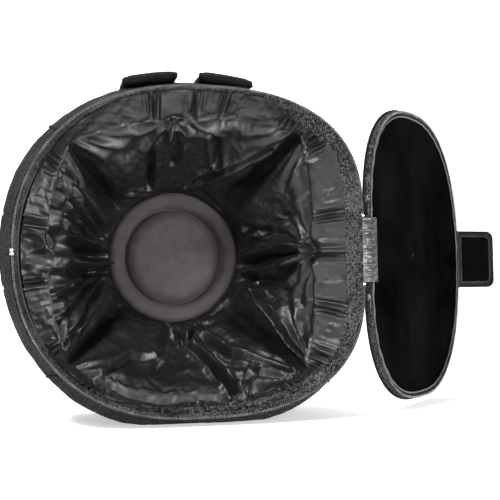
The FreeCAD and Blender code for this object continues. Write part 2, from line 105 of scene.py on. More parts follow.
# how much of the belly's outline the mouth has, and how far the belly lies off the middle
MOUTH_FOOT = 0.15
BELLY_SHIFT = -6 * MM


def corner_line(corner, first, last, station, count=120):
    """Points of the outline along part of one corner."""
    y, grow, shift, foot = station
    sign_x, sign_z, start_x, start_z = CORNERS[corner]
    start_x = start_x * foot
    mouth_power, belly_power = POWERS[corner]
    power = 2.0 / (mouth_power + (belly_power - mouth_power) * foot)
    angle = np.linspace(first, last, count) * math.pi / 2
    x = sign_x * (start_x + (HALF_W + grow - start_x) * np.clip(np.cos(angle), 0, 1) ** power)
    z = sign_z * (start_z + (HALF_H + grow - start_z) * np.clip(np.sin(angle), 0, 1) ** power)
    return np.stack([x + shift, np.full(count, y), MID_Z + z], axis=1)


def evenly(points, count, margin=0.0):
    """The same line with evenly spaced points, and a margin left off both ends."""
    steps = np.linalg.norm(np.diff(points, axis=0), axis=1)
    along = np.concatenate([[0.0], np.cumsum(steps)])
    wanted = np.linspace(margin, along[-1] - margin, count)
    return np.stack([np.interp(wanted, along, points[:, k]) for k in range(3)], axis=1)


def side_line(side, station, count, margin=0.0):
    """Evenly spaced points along one side of the outline."""
    dense = np.concatenate([corner_line(*part, station) for part in SIDES[side]])
    return evenly(dense, count, margin)


def loop_line(station, count):
    """Evenly spaced points round the whole outline, clockwise from the top left."""
    dense = np.concatenate([corner_line(*part, station) for side in SIDES.values() for part in side])
    dense = np.concatenate([dense, dense[:1]])
    return evenly(dense, count + 1)[:-1]


# the wall in depth: y, growth, shift in x, and share of the belly's outline
WALL_KNOTS = np.array([
    [WALL_Y, -4 * MM, -5 * MM, MOUTH_FOOT],
    [MOUTH_Y + 50 * MM, 12 * MM, BELLY_SHIFT, 1.0],
    [BACK_Y - 22 * MM, 12 * MM, BELLY_SHIFT, 1.0],
    [BACK_Y - 1.8 * MM, 0.0, BELLY_SHIFT, 1.0],
])


def wall_at(y, soften=9 * MM):
    """The station of the wall's outer face at one depth, with its bends softened."""
    near = np.clip(np.linspace(y - soften, y + soften, 7), WALL_KNOTS[0, 0], WALL_KNOTS[-1, 0])
    values = [np.interp(near, WALL_KNOTS[:, 0], WALL_KNOTS[:, k]).mean() for k in (1, 2, 3)]
    return (y, *values)


# ---------------------------------------------------------------- mesh making


def smooth_noise(points, size, seed, detail=3):
    """Repeatable soft noise in -1 to 1 at every point; size is the length of one swell."""
    rng = np.random.default_rng(seed)
    total = np.zeros(len(points))
    weight = 0.0
    for octave in range(detail):
        for _ in range(5):
            way = rng.normal(size=3)
            way /= np.linalg.norm(way)
            wave = 2 * math.pi / (size * rng.uniform(0.7, 1.4) / 2 ** octave)
            total += 0.5 ** octave * np.sin(points @ way * wave + rng.uniform(0, 6.28))
        weight += 0.5 ** octave
    return total / (weight * 3.0)


def make_object(name, verts, faces, uvs=None, sharp=40.0):
    """A smooth-shaded mesh object. uvs: one pair for every corner of every face, in metres of cloth."""
    mesh = bpy.data.meshes.new(name)
    mesh.from_pydata([tuple(v) for v in verts], [], faces)
    if uvs is not None:
        layer = mesh.uv_layers.new(name="cloth")
        layer.data.foreach_set("uv", np.asarray(uvs, dtype=np.float32).ravel())
    mesh.polygons.foreach_set("use_smooth", [True] * len(mesh.polygons))
    mesh.set_sharp_from_angle(angle=math.radians(sharp))
    mesh.update()
    obj = bpy.data.objects.new(name, mesh)
    bpy.context.scene.collection.objects.link(obj)
    return obj


def grid_normals(grid, wrap):
    """Unit normals of a grid of points (rows, columns, 3)."""
    rows = np.gradient(grid, axis=0)
    if wrap:
        columns = (np.roll(grid, -1, axis=1) - np.roll(grid, 1, axis=1)) / 2
    else:
        columns = np.gradient(grid, axis=1)
    normal = np.cross(rows, columns)
    return normal / np.maximum(np.linalg.norm(normal, axis=2, keepdims=True), 1e-12)


def cloth_lengths(grid, wrap):
    """Length of cloth along and across a grid, at every row and column."""
    closed = np.concatenate([grid, grid[:, :1]], axis=1) if wrap else grid
    across = np.linalg.norm(np.diff(closed, axis=1), axis=2).mean(axis=0)
    down = np.linalg.norm(np.diff(grid, axis=0), axis=2).mean(axis=1)
    return np.concatenate([[0], np.cumsum(across)]), np.concatenate([[0], np.cumsum(down)])


def grid_faces(rows, columns, wrap, offset, flip):
    """Faces of a grid, with each face's four (row, column) corners."""
    faces, corners = [], []
    for i in range(rows - 1):
        for j in range(columns if wrap else columns - 1):
            k = (j + 1) % columns
            face = [offset + i * columns + j, offset + i * columns + k,
                    offset + (i + 1) * columns + k, offset + (i + 1) * columns + j]
            place = [(i, j), (i, j + 1), (i + 1, j + 1), (i + 1, j)]
            faces.append(face[::-1] if flip else face)
            corners.append(place[::-1] if flip else place)
    return faces, corners


def rim_faces(rows, columns, wrap, count):
    """Faces that join the outer and inner layers along a grid's free edges."""
    faces, corners = [], []

    def strip(line, places):
        for (a, b), (pa, pb) in zip(zip(line, line[1:]), zip(places, places[1:])):
            faces.append([a, b, b + count, a + count])
            corners.append([pa, pb, pb, pa])

    span = list(range(columns)) + ([0] if wrap else [])
    strip(span[::-1], [(0, j) for j in range(len(span))][::-1])
    last = (rows - 1) * columns
    strip([last + j for j in span], [(rows - 1, j) for j in range(len(span))])
    if not wrap:
        strip([i * columns for i in range(rows)], [(i, 0) for i in range(rows)])
        right = [i * columns + columns - 1 for i in range(rows)][::-1]
        strip(right, [(i, columns - 1) for i in range(rows)][::-1])
    return faces, corners


def sheet_object(name, grid, thickness, wrap=False, flip=False):
    """A closed thin sheet: the grid is its face, and the thickness goes to the other side."""
    rows, columns = grid.shape[:2]
    normal = grid_normals(grid, wrap) * (-1 if flip else 1)
    count = rows * columns
    verts = np.concatenate([grid.reshape(-1, 3), (grid - normal * thickness).reshape(-1, 3)])
    along, down = cloth_lengths(grid, wrap)
    front, front_at = grid_faces(rows, columns, wrap, 0, not flip)
    back, back_at = grid_faces(rows, columns, wrap, count, flip)
    edge, edge_at = rim_faces(rows, columns, wrap, count)
    if flip:
        edge, edge_at = [f[::-1] for f in edge], [c[::-1] for c in edge_at]
    uvs = [(along[j], down[i]) for face in front_at + back_at + edge_at for i, j in face]
    return make_object(name, verts, front + back + edge, uvs)


def tube_grid(path, radius, sides, closed, squash=1.0, up=None):
    """Points of a tube round a path: rows along it, columns round it."""
    path = np.asarray(path)
    if closed:
        tangent = np.roll(path, -1, axis=0) - np.roll(path, 1, axis=0)
    else:
        tangent = np.gradient(path, axis=0)
    tangent = unit(tangent)
    reference = np.array([0.0, 1.0, 0.0]) if up is None else np.asarray(up)
    side = np.cross(tangent, reference)
    side /= np.maximum(np.linalg.norm(side, axis=1, keepdims=True), 1e-9)
    top = np.cross(side, tangent)
    turn = np.linspace(0, 2 * math.pi, sides, endpoint=False)
    radius = np.broadcast_to(np.asarray(radius, dtype=float), (len(path),))[:, None, None]
    ring = np.cos(turn)[None, :, None] * side[:, None, :]
    ring = ring + squash * np.sin(turn)[None, :, None] * top[:, None, :]
    return path[:, None, :] + radius * ring


def tube_object(name, path, radius, sides=10, closed=False, squash=1.0, up=None):
    """A tube along a path, with closed ends where the path is open."""
    grid = tube_grid(path, radius, sides, closed, squash, up)
    rows = len(grid)
    verts = grid.reshape(-1, 3)
    steps = np.linalg.norm(np.diff(np.concatenate([path, path[:1]]), axis=0), axis=1)
    along = np.concatenate([[0], np.cumsum(steps)])
    girth = 2 * math.pi * float(np.mean(radius)) / sides
    faces, uvs = [], []
    for i in range(rows if closed else rows - 1):
        for j in range(sides):
            k, n = (j + 1) % sides, (i + 1) % rows
            faces.append([i * sides + j, n * sides + j, n * sides + k, i * sides + k])
            uvs += [(along[i], j * girth), (along[i + 1], j * girth), (along[i + 1], (j + 1) * girth),
                    (along[i], (j + 1) * girth)]
    if not closed:
        for ring in (list(range(sides)), list(range((rows - 1) * sides, rows * sides))[::-1]):
            faces.append(ring)
            uvs += [(0.0, 0.0)] * sides
    return make_object(name, verts, faces, uvs, sharp=60.0)


def block_object(name, low, high, radius, segments=3, shape=None):
    """A box with rounded edges; shape may move its vertices."""
    low, high = np.asarray(low), np.asarray(high)
    bm = bmesh.new()
    bmesh.ops.create_cube(bm, size=1.0)
    for vert in bm.verts:
        vert.co = Vector((low + high) / 2 + np.array(vert.co) * (high - low))
    bmesh.ops.bevel(bm, geom=bm.edges[:], offset=radius, segments=segments, profile=0.5, affect="EDGES")
    if shape is not None:
        for vert in bm.verts:
            vert.co = Vector(shape(np.array(vert.co)))
    mesh = bpy.data.meshes.new(name)
    bm.to_mesh(mesh)
    bm.free()
    layer = mesh.uv_layers.new(name="cloth")
    points = np.array([mesh.vertices[loop.vertex_index].co for loop in mesh.loops])
    layer.data.foreach_set("uv", points[:, [0, 2]].astype(np.float32).ravel())
    mesh.polygons.foreach_set("use_smooth", [True] * len(mesh.polygons))
    mesh.set_sharp_from_angle(angle=math.radians(35))
    obj = bpy.data.objects.new(name, mesh)
    bpy.context.scene.collection.objects.link(obj)
    return obj


def copies_object(name, template, faces, centres, axes):
    """Many copies of one small shape in one mesh. axes holds three unit vectors for every copy."""
    count, size = len(centres), len(template)
    verts = centres[:, None, :] + np.einsum("vk,nkc->nvc", template, axes)
    every = [[n * size + v for v in face] for n in range(count) for face in faces]
    return make_object(name, verts.reshape(-1, 3), every, sharp=70.0)


def swing(points):
    """Turn points of the shut lid to the way the lid hangs open."""
    c, s = math.cos(OPEN_ANGLE), math.sin(OPEN_ANGLE)
    x, y, z = np.moveaxis(points - HINGE_FOOT, -1, 0)
    return np.stack([x * c - y * s, x * s + y * c, z], axis=-1) + HINGE_FOOT


def turn_only(vectors):
    """Turn directions with the open lid."""
    return swing(vectors + HINGE_FOOT) - HINGE_FOOT


LID_UP = turn_only(UP_Y)


# ---------------------------------------------------------------- materials


class Shader:
    """A node material under construction."""

    def __init__(self, name, roughness, **constants):
        self.material = bpy.data.materials.new(name)
        self.material.use_nodes = True
        self.tree = self.material.node_tree
        self.tree.nodes.clear()
        output = self.tree.nodes.new("ShaderNodeOutputMaterial")
        self.shader = self.tree.nodes.new("ShaderNodeBsdfPrincipled")
        self.tree.links.new(self.shader.outputs[0], output.inputs[0])
        self.shader.inputs["Roughness"].default_value = roughness
        for key, value in constants.items():
            self.shader.inputs[key.replace("_", " ")].default_value = value
        uv = self.tree.nodes.new("ShaderNodeUVMap")
        uv.uv_map = "cloth"
        self.uv = uv.outputs[0]
        self.place = self.tree.nodes.new("ShaderNodeTexCoord").outputs["Object"]

    def put(self, socket, value):
        if isinstance(value, bpy.types.NodeSocket):
            self.tree.links.new(value, socket)
        elif value is not None:
            socket.default_value = value

    def maths(self, operation, a, b=None):
        node = self.tree.nodes.new("ShaderNodeMath")
        node.operation = operation
        self.put(node.inputs[0], a)
        self.put(node.inputs[1], b)
        return node.outputs[0]

    def noise(self, scale, detail=3.0, stretch=None, vector=None, rough=0.55):
        vector = self.place if vector is None else vector
        if stretch is not None:
            mapping = self.tree.nodes.new("ShaderNodeMapping")
            self.put(mapping.inputs["Vector"], vector)
            self.put(mapping.inputs["Scale"], stretch)
            vector = mapping.outputs[0]
        node = self.tree.nodes.new("ShaderNodeTexNoise")
        self.put(node.inputs["Vector"], vector)
        self.put(node.inputs["Scale"], scale)
        self.put(node.inputs["Detail"], detail)
        self.put(node.inputs["Roughness"], rough)
        return node.outputs["Fac"]

    def spots(self, scale, vector=None):
        node = self.tree.nodes.new("ShaderNodeTexVoronoi")
        self.put(node.inputs["Vector"], self.place if vector is None else vector)
        self.put(node.inputs["Scale"], scale)
        return node.outputs["Distance"]

    def waves(self, period, axis):
        """A sine wave in 0 to 1 along one direction of the cloth."""
        split = self.tree.nodes.new("ShaderNodeSeparateXYZ")
        self.put(split.inputs[0], self.uv)
        wave = self.maths("SINE", self.maths("MULTIPLY", split.outputs[axis], 2 * math.pi / period))
        return self.maths("ADD", self.maths("MULTIPLY", wave, 0.5), 0.5)

    def ramp(self, factor, stops):
        node = self.tree.nodes.new("ShaderNodeValToRGB")
        self.put(node.inputs[0], factor)
        while len(node.color_ramp.elements) < len(stops):
            node.color_ramp.elements.new(0.5)
        for element, (position, colour) in zip(node.color_ramp.elements, stops):
            element.position = position
            element.color = (*colour, 1.0)
        return node.outputs[0]

    def spread(self, factor, low, high):
        """Map 0 to 1 onto a range."""
        return self.maths("ADD", self.maths("MULTIPLY", factor, high - low), low)

    def finish(self, colour, height=None, distance=0.0005, strength=1.0, roughness=None):
        self.put(self.shader.inputs["Base Color"], colour)
        self.put(self.shader.inputs["Roughness"], roughness)
        if height is not None:
            bump = self.tree.nodes.new("ShaderNodeBump")
            self.put(bump.inputs["Height"], height)
            self.put(bump.inputs["Distance"], distance)
            self.put(bump.inputs["Strength"], strength)
            self.tree.links.new(bump.outputs[0], self.shader.inputs["Normal"])
        return self.material


def grey(value, warm=0.0):
    return (value * (1 + warm), value, value * (1 - warm))


def woven(name, dark, light, thread, roughness=0.75, depth=0.0004, warm=0.02):
    """Plain-woven cloth with thick threads, and a little wear and dust."""
    s = Shader(name, roughness, Specular_IOR_Level=0.12)
    warp, weft = s.waves(2 * thread, 0), s.waves(2 * thread, 1)
    weave = s.maths("ABSOLUTE", s.maths("SUBTRACT", warp, weft))
    grain = s.noise(300, 1.0)
    dust = s.noise(14, 4.0)
    mix = s.maths("ADD", s.maths("MULTIPLY", weave, 0.25), s.maths("MULTIPLY", grain, 0.75))
    mix = s.maths("MULTIPLY", mix, s.spread(dust, 0.6, 1.3))
    colour = s.ramp(mix, [(0.40, grey(dark, warm)), (0.62, grey(light, warm))])
    height = s.maths("ADD", s.maths("MULTIPLY", weave, 0.7), s.maths("MULTIPLY", grain, 0.5))
    return s.finish(colour, height, depth, 0.8)


def satin(name, dark, light, roughness=0.3, crease=0.5, warm=0.02, shine_level=0.5):
    """Shiny lining satin: a smooth face with very fine crosswise slubs and small creases."""
    s = Shader(name, roughness, Specular_IOR_Level=shine_level, Anisotropic=0.35)
    slub = s.noise(260, 3.0, (1.0, 9.0, 1.0), s.uv)
    fine = s.noise(95, 4.0, None, None, 0.62)
    tone = s.noise(7, 3.0)
    colour = s.ramp(tone, [(0.3, grey(dark, warm)), (0.75, grey(light, warm * 0.5))])
    height = s.maths("ADD", s.maths("MULTIPLY", slub, 0.12), s.maths("MULTIPLY", fine, crease))
    shine = s.spread(s.noise(30, 3.0), roughness - 0.06, roughness + 0.14)
    return s.finish(colour, height, 0.0022, 0.5, shine)


# painted shade on the felt, from the middle of the pad (0) to its edge (1): darker in the groove between
# ring and disc, and darker again at the outer edge
GROOVE_SHADE = [(0.0, (1, 1, 1)), (0.55, (1.0, 0.98, 0.98)), (0.66, (0.62, 0.6, 0.6)), (0.73, (0.3, 0.28, 0.28)),
          (0.79, (0.8, 0.78, 0.78)), (0.9, (0.95, 0.92, 0.92)), (1.0, (0.5, 0.48, 0.48))]


def felt(name, dark, light, roughness=0.95):
    """Brushed felt: short fibres that lie every way, with painted shade darkening the groove of the pad and
    its outer edge.
    """
    s = Shader(name, roughness, Sheen_Weight=0.1, Sheen_Roughness=0.6, Specular_IOR_Level=0.2)
    fibre = s.noise(900, 4.0, (1.0, 1.0, 0.35), None, 0.7)
    clump = s.noise(55, 4.0)
    mix = s.maths("ADD", s.maths("MULTIPLY", fibre, 0.5), s.maths("MULTIPLY", clump, 0.5))
    split = s.tree.nodes.new("ShaderNodeSeparateXYZ")
    s.put(split.inputs[0], s.place)
    x = s.maths("ADD", split.outputs[0], s.spread(clump, -8 * MM, 2 * MM))
    z = s.maths("SUBTRACT", split.outputs[2], MID_Z)
    radius = s.maths("SQRT", s.maths("ADD", s.maths("MULTIPLY", x, x), s.maths("MULTIPLY", z, z)))
    # painted shade: a ring of darker felt in the groove between the pad's ring and disc, and at the pad's
    # outer edge
    groove_shade = s.ramp(s.maths("MULTIPLY", radius, 1 / 0.12), GROOVE_SHADE)
    face = s.ramp(mix, [(0.3, dark), (0.7, light)])
    # the felt's own colour multiplied by the painted groove shade
    tint = s.tree.nodes.new("ShaderNodeMix")
    tint.data_type = "RGBA"
    tint.blend_type = "MULTIPLY"
    s.put(tint.inputs["Factor"], 1.0)
    s.put(tint.inputs[6], face)
    s.put(tint.inputs[7], groove_shade)
    return s.finish(tint.outputs[2], mix, 0.0012, 0.6)


def webbing(name, dark, light):
    """Ribbed webbing with a herringbone face."""
    s = Shader(name, 0.62, Specular_IOR_Level=0.25)
    ribs = s.waves(1.6 * MM, 1)
    across = s.waves(5.5 * MM, 0)
    grain = s.noise(500, 2.0)
    mix = s.maths("MULTIPLY", s.maths("ADD", s.maths("ADD", ribs, across), grain), 0.34)
    colour = s.ramp(mix, [(0.2, grey(dark)), (0.8, grey(light))])
    return s.finish(colour, s.maths("ADD", ribs, s.maths("MULTIPLY", across, 0.5)), 0.0005, 0.8)


def pile(name, dark, light, size):
    """Hook or loop pile: a field of tiny tufts."""
    s = Shader(name, 0.9, Specular_IOR_Level=0.0)
    tufts = s.spots(1.0 / size)
    grain = s.noise(700, 2.0)
    mix = s.maths("MULTIPLY", s.maths("ADD", tufts, grain), 0.6)
    colour = s.ramp(mix, [(0.25, grey(dark)), (0.75, grey(light))])
    return s.finish(colour, mix, 0.0012, 0.9)


def plastic(name, dark, light, roughness):
    """Moulded plastic with a faint spark-eroded grain and scuffs."""
    s = Shader(name, roughness)
    grain = s.noise(1500, 2.0)
    scuff = s.noise(45, 5.0)
    colour = s.ramp(scuff, [(0.35, grey(dark)), (0.8, grey(light))])
    return s.finish(colour, grain, 0.00015, 0.5, s.spread(scuff, roughness - 0.08, roughness + 0.12))


def metal(name, colour, roughness, metallic=1.0):
    """Brushed or plated metal with small scratches."""
    s = Shader(name, roughness, Metallic=metallic)
    scratch = s.noise(400, 4.0, (1.0, 1.0, 8.0))
    tone = s.ramp(scratch, [(0.3, grey(colour * 0.7)), (0.7, grey(colour))])
    return s.finish(tone, scratch, 0.0002, 0.4, s.spread(scratch, roughness - 0.08, roughness + 0.1))


def foam(name, dark, light):
    """Open-cell foam."""
    s = Shader(name, 0.95)
    cells = s.spots(900)
    colour = s.ramp(cells, [(0.1, grey(dark)), (0.6, grey(light))])
    return s.finish(colour, cells, 0.001, 0.7)


CLOTH = woven("ballistic_cloth", 0.0015, 0.045, 1.9 * MM, depth=0.0009)
FACING = woven("facing_cloth", 0.002, 0.11, 1.8 * MM, depth=0.0012)
STRAP = woven("strap_cloth", 0.002, 0.02, 1.5 * MM, depth=0.0009)
BINDING = woven("binding_tape", 0.002, 0.016, 0.8 * MM, 0.7)
TAPE = woven("zip_tape_cloth", 0.005, 0.028, 0.5 * MM)
LINING = satin("lining_satin", 0.003, 0.012, 0.38, 0.2, 0.02, 0.5)
LID_SATIN = satin("lid_satin", 0.0012, 0.006, 0.5, 0.12, 0.08, 0.0)
PALE_SATIN = satin("hinge_satin", 0.01, 0.07, 0.3, 0.5, 0.02, 0.5)
PALE_BINDING = satin("lid_binding_satin", 0.06, 0.14, 0.34)
FELT = felt("pad_felt", (0.042, 0.036, 0.038), (0.073, 0.064, 0.067))
WEBBING = webbing("strap_webbing", 0.006, 0.04)
HOOKS = pile("hook_pile", 0.0002, 0.004, 2.4 * MM)
LOOPS = pile("loop_pile", 0.002, 0.03, 1.2 * MM)
TEETH = plastic("zip_teeth", 0.05, 0.2, 0.2)
LOCK = plastic("lock_plastic", 0.008, 0.02, 0.42)
SLIDER = metal("slider_paint", 0.03, 0.35, 0.6)
STEEL = metal("stop_steel", 0.7, 0.25)
FOAM = foam("open_foam", 0.02, 0.06)
THREAD = plastic("thread", 0.08, 0.15, 0.5)


def dress(obj, body, slot, material, *nodes):
    """Give a piece its material and body, and hide the CAD nodes that it stands for; slot is not used."""
    obj.data.materials.clear()
    obj.data.materials.append(material)
    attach(obj, body)
    if nodes:
        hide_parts(*nodes)
    return obj


def fill_foam(name):
    """Give a foam board of the CAD its material."""
    materials = frame["nodes"][name].data.materials
    materials.clear()
    materials.append(FOAM)


def sew(name, grid, thickness, body, slot, material, node, flip, wrap=False, lay=None):
    """A stretched sheet that stands for a CAD node. lay moves its grid to where the sheet hangs."""
    obj = sheet_object(name, lay(grid) if lay else grid, thickness, wrap=wrap, flip=flip)
    dress(obj, body, slot, material, node)


# ---------------------------------------------------------------- outer wall and back


def wall_grid(side, columns, rows, lift):
    """Grid of points on the wall's outer face along one side."""
    depths = np.linspace(WALL_KNOTS[0, 0], WALL_KNOTS[-1, 0], rows)
    grid = np.stack([side_line(side, wall_at(y), columns, 2.8 * MM) for y in depths])
    normal = grid_normals(grid, False)
    middle = np.array([0, 0, MID_Z])
    facing = np.sign(((grid - middle) * normal).sum(axis=2).mean())
    return grid + normal * facing * lift, normal * facing


def make_walls():
    rows, columns = 56, 150
    for number, side in enumerate(SIDES):
        grid, normal = wall_grid(side, columns, rows, 0.0)
        flat = grid.reshape(-1, 3)
        v = np.linspace(0, 1, rows)[:, None]
        u = np.linspace(0, 1, columns)[None, :]
        seam = np.exp(-np.minimum(u, 1 - u) * 26)
        swell = smooth_noise(flat, 0.16, 40 + number).reshape(rows, columns) * 1.6
        small = smooth_noise(flat * np.array([1, 0.5, 1]), 0.035, 50 + number).reshape(rows, columns) * 0.5
        pucker = np.sin(v * 95 + number) * seam * 0.9
        lip = np.sin(u * columns * 0.9 + 2 * np.sin(u * 40)) * np.exp(-v * 9) * 0.55
        pillow = (1 - seam) * np.sin(np.pi * v) ** 0.5 * 1.8
        lift = (swell + small + pucker + lip + pillow) * MM
        low, high = box("loop_patch")[:, 1:] + np.array([[-6 * MM], [6 * MM]])
        under_patch = ((grid[:, :, 1:] > low) & (grid[:, :, 1:] < high)).all(axis=2) & (side == "left")
        lift = np.where(under_patch, np.minimum(lift, 0.0), lift)
        grid = grid + normal * lift[:, :, None]
        grid[:, :, 2] = np.maximum(grid[:, :, 2], FLOOR_Z)
        flip = grid_normals(grid, False)[rows // 2, columns // 2] @ normal[rows // 2, columns // 2] < 0
        sew("wall_cloth_" + side, grid, 1.4 * MM, "bag", "outer_cloth", CLOTH, "wall_panel_" + side,
            flip=flip)
        fill_foam("wall_foam_" + side)


def seam_path(corner, proud, count=60):
    depths = np.linspace(WALL_KNOTS[0, 0], WALL_KNOTS[-1, 0], count)
    points = []
    for y in depths:
        station = wall_at(y)
        points.append(corner_line(corner, 0.5, 0.5, (y, station[1] + proud, station[2], station[3]), 1)[0])
    return np.array(points)


def make_seam_pipings():
    for corner in CORNERS:
        path = seam_path(corner, 0.4 * MM)
        ripple = 1 + 0.05 * np.sin(np.arange(len(path)) * 1.9)
        obj = tube_object("seam_piping_cord_" + corner, path, 2.5 * MM * ripple, 12)
        dress(obj, "bag", "seam_piping", BINDING, "seam_piping_" + corner)


def make_back():
    rings, count = 26, 260
    edge = loop_line((BACK_Y - 0.4 * MM, 0.0, BELLY_SHIFT, 1.0), count)
    centre = np.array([BELLY_SHIFT, BACK_Y, MID_Z])
    share = np.linspace(1, 0.02, rings)
    grid = centre + (edge[None] - centre) * share[:, None, None]
    flat = grid.reshape(-1, 3)
    sag = smooth_noise(flat, 0.2, 70).reshape(rings, count) * 0.9 - 1.2 * (1 - share[:, None] ** 4)
    grid[:, :, 1] = BACK_Y - 0.4 * MM + sag * 0.4 * MM
    sew("back_cloth", grid, 1.2 * MM, "bag", "outer_cloth", CLOTH, "back_panel",
        flip=grid_normals(grid, True)[5, 5, 1] < 0, wrap=True)
    path = loop_line((BACK_Y + 1.0 * MM, 2.8 * MM, BELLY_SHIFT, 1.0), 420)
    ripple = 1 + 0.04 * np.sin(np.arange(len(path)) * 1.7)
    obj = tube_object("back_piping_cord", path, 2.5 * MM * ripple, 12, closed=True)
    dress(obj, "bag", "seam_piping", BINDING, "back_piping")
    fill_foam("back_foam")


# ---------------------------------------------------------------- mouth: facing, zipper, stops


def make_facing():
    front, back = MOUTH_Y + 2.9 * MM, MOUTH_Y + 24 * MM
    rows, count = 12, 720
    share = np.linspace(0, 1, rows)
    lines = [loop_line((front + (back - front) * t, (-1.6 - 15.6 * t) * MM, -8 * MM * t, MOUTH_FOOT), count)
             for t in share]
    grid = np.stack(lines)
    ripple = smooth_noise(grid.reshape(-1, 3), 0.03, 81).reshape(rows, count)
    grid[:, :, 1] += ripple * 0.7 * MM * np.sin(np.pi * share)[:, None]
    flip = grid_normals(grid, True)[5, 5, 1] > 0
    sew("mouth_facing_cloth", grid, 1.0 * MM, "bag", "facing_cloth", FACING, "mouth_facing",
        flip=flip, wrap=True)


def tooth_template(length, height, width):
    """One coil tooth: a short rounded bar. Axes: along the zip, across the tape, and out of it."""
    levels = [(-0.5, 0.45), (-0.42, 0.85), (-0.2, 1.0), (0.2, 1.0), (0.42, 0.9), (0.5, 0.5)]
    ring = 8
    verts = []
    for position, size in levels:
        for k in range(ring):
            angle = 2 * math.pi * k / ring
            verts.append((width / 2 * size * math.cos(angle), position * length,
                          height / 2 * size * math.sin(angle)))
    faces = [[i * ring + k, i * ring + (k + 1) % ring, (i + 1) * ring + (k + 1) % ring, (i + 1) * ring + k]
             for i in range(len(levels) - 1) for k in range(ring)]
    faces.append(list(range(ring))[::-1])
    faces.append(list(range((len(levels) - 1) * ring, len(levels) * ring)))
    return np.array(verts), faces


def zip_line(y, grow, pitch):
    """Evenly spaced places round the zipper line, leaving out the hinge stretch."""
    dense = loop_line((y, grow, 0.0, MOUTH_FOOT), 4000)
    keep = ~((dense[:, 0] > dense[:, 0].max() - 20 * MM) & (np.abs(dense[:, 2] - MID_Z) < 57 * MM))
    start = int(np.flatnonzero(keep & ~np.roll(keep, 1))[0])
    dense = np.roll(dense, -start, axis=0)[: int(keep.sum())]
    length = np.linalg.norm(np.diff(dense, axis=0), axis=1).sum()
    return evenly(dense, int(length / pitch))


def make_teeth(name, side_y, lid):
    """A row of zipper teeth round the mouth, on the bag or on the lid."""
    line = zip_line(side_y, -1.9 * MM, 3.3 * MM)
    tangent = unit(np.gradient(line, axis=0))
    outward = np.cross(tangent, UP_Y)
    if lid:
        line, tangent, outward = swing(line), turn_only(tangent), turn_only(outward)
    depth = LID_UP if lid else UP_Y
    axes = np.stack([tangent, outward, np.broadcast_to(depth, tangent.shape)], axis=1)
    template, faces = tooth_template(4.2 * MM, 2.5 * MM, 1.8 * MM)
    return copies_object(name, template, faces, line, axes)


def make_mouth_zip():
    obj = make_teeth("zip_teeth_bag", MOUTH_Y + 1.35 * MM, False)
    dress(obj, "bag", "zip_coil", TEETH, "zip_coil_body")
    rows = 6
    count = 520
    share = np.linspace(0, 1, rows)
    grid = np.stack([side_tape_line(t, count) for t in share])
    flip = grid_normals(grid, False)[3, 3] @ (grid[3, 3] - np.array([0, grid[3, 3, 1], MID_Z])) < 0
    sew("zip_tape_bag", grid, 0.8 * MM, "bag", "zip_tape", TAPE, "zip_tape_body", flip=flip)


def side_tape_line(share, count):
    line = zip_line(MOUTH_Y + (3.0 + 10.0 * share) * MM, (-0.1 - 4.0 * share) * MM, 0.5 * MM)
    return evenly(line, count) + np.array([-3.8 * MM * share, 0, 0])


def make_stops():
    low, high = box("zip_end_stops")
    pieces = []
    for sign in (-1, 1):
        z = MID_Z + sign * 56 * MM
        pieces.append(([HALF_W - 4.4 * MM, MOUTH_Y - 0.2 * MM, z - 2.4 * MM],
                       [HALF_W + 0.4 * MM, MOUTH_Y + 3 * MM, z + 2.4 * MM]))
        pieces.append(([low[0] - 0.2 * MM, MOUTH_Y - 0.6 * MM, MID_Z + sign * 2.6 * MM - 2.2 * MM],
                       [low[0] + 6.0 * MM, MOUTH_Y + 2.8 * MM, MID_Z + sign * 2.6 * MM + 2.2 * MM]))
    for number, (a, b) in enumerate(pieces):
        obj = block_object("zip_stop_%d" % number, a, b, 0.8 * MM)
        dress(obj, "bag", "bright_metal", STEEL, *(["zip_end_stops"] if number == 0 else []))
    low, high = box("zip_end_tab")
    obj = block_object("zip_end_loop", low, high, 0.9 * MM)
    dress(obj, "bag", "zip_tape", BINDING, "zip_end_tab")


# ---------------------------------------------------------------- lining


CHORD_REACH = {"top": 213 * MM, "right": 200 * MM, "bottom": 244 * MM, "left": 222 * MM}
OUTWARD = {"top": (0, 0, 1), "right": (1, 0, 0), "bottom": (0, 0, -1), "left": (-1, 0, 0)}
CHORD_Y = MOUTH_Y + 45 * MM
RIM_STATION = (MOUTH_Y + 24.6 * MM, -19.7 * MM, -5.5 * MM, MOUTH_FOOT)
CHORD_STATION = (CHORD_Y, -26 * MM, -5.5 * MM, MOUTH_FOOT)
# distance of the lining's foot from the pad's middle, at a corner and halfway along a side
FOOT_CORNER = 119 * MM
FOOT_SIDE = 117.5 * MM
BASE_Y = box("base_pad_ring")[0][1] + 6 * MM
PER_SIDE = 112
EDGE_ROWS = 15
PANEL_ROWS = 62
# rows over which the folds fade out towards the pad
FADE_ROWS = 12


def arc_through(a, b, c, count):
    """Evenly spaced points on the arc through three points."""
    a, b, c = (np.asarray(p, dtype=float) for p in (a, b, c))
    ab, ac = b - a, c - a
    normal = np.cross(ab, ac)
    centre = np.cross(normal, ab) * (ac @ ac) + np.cross(ac, normal) * (ab @ ab)
    centre = a + centre / (2 * (normal @ normal))
    radius = np.linalg.norm(a - centre)
    u = (a - centre) / radius
    v = np.cross(normal / np.linalg.norm(normal), u)
    end = math.atan2((c - centre) @ v, (c - centre) @ u) % (2 * math.pi)
    angle = np.linspace(0, end, count)[:, None]
    return centre + radius * (np.cos(angle) * u + np.sin(angle) * v)


def rim_share(side, count):
    """How much of the facing shows outside the lining: all of it at the sides, little at top and bottom."""
    line = side_line(side, RIM_STATION, count)
    height = np.abs(line[:, 2] - MID_Z) / HALF_H
    covered = {"top": 0.80, "bottom": 0.62}.get(side, 0.7)
    return 1.0 - covered * np.clip((height - 0.3) / 0.6, 0, 1) ** 1.5


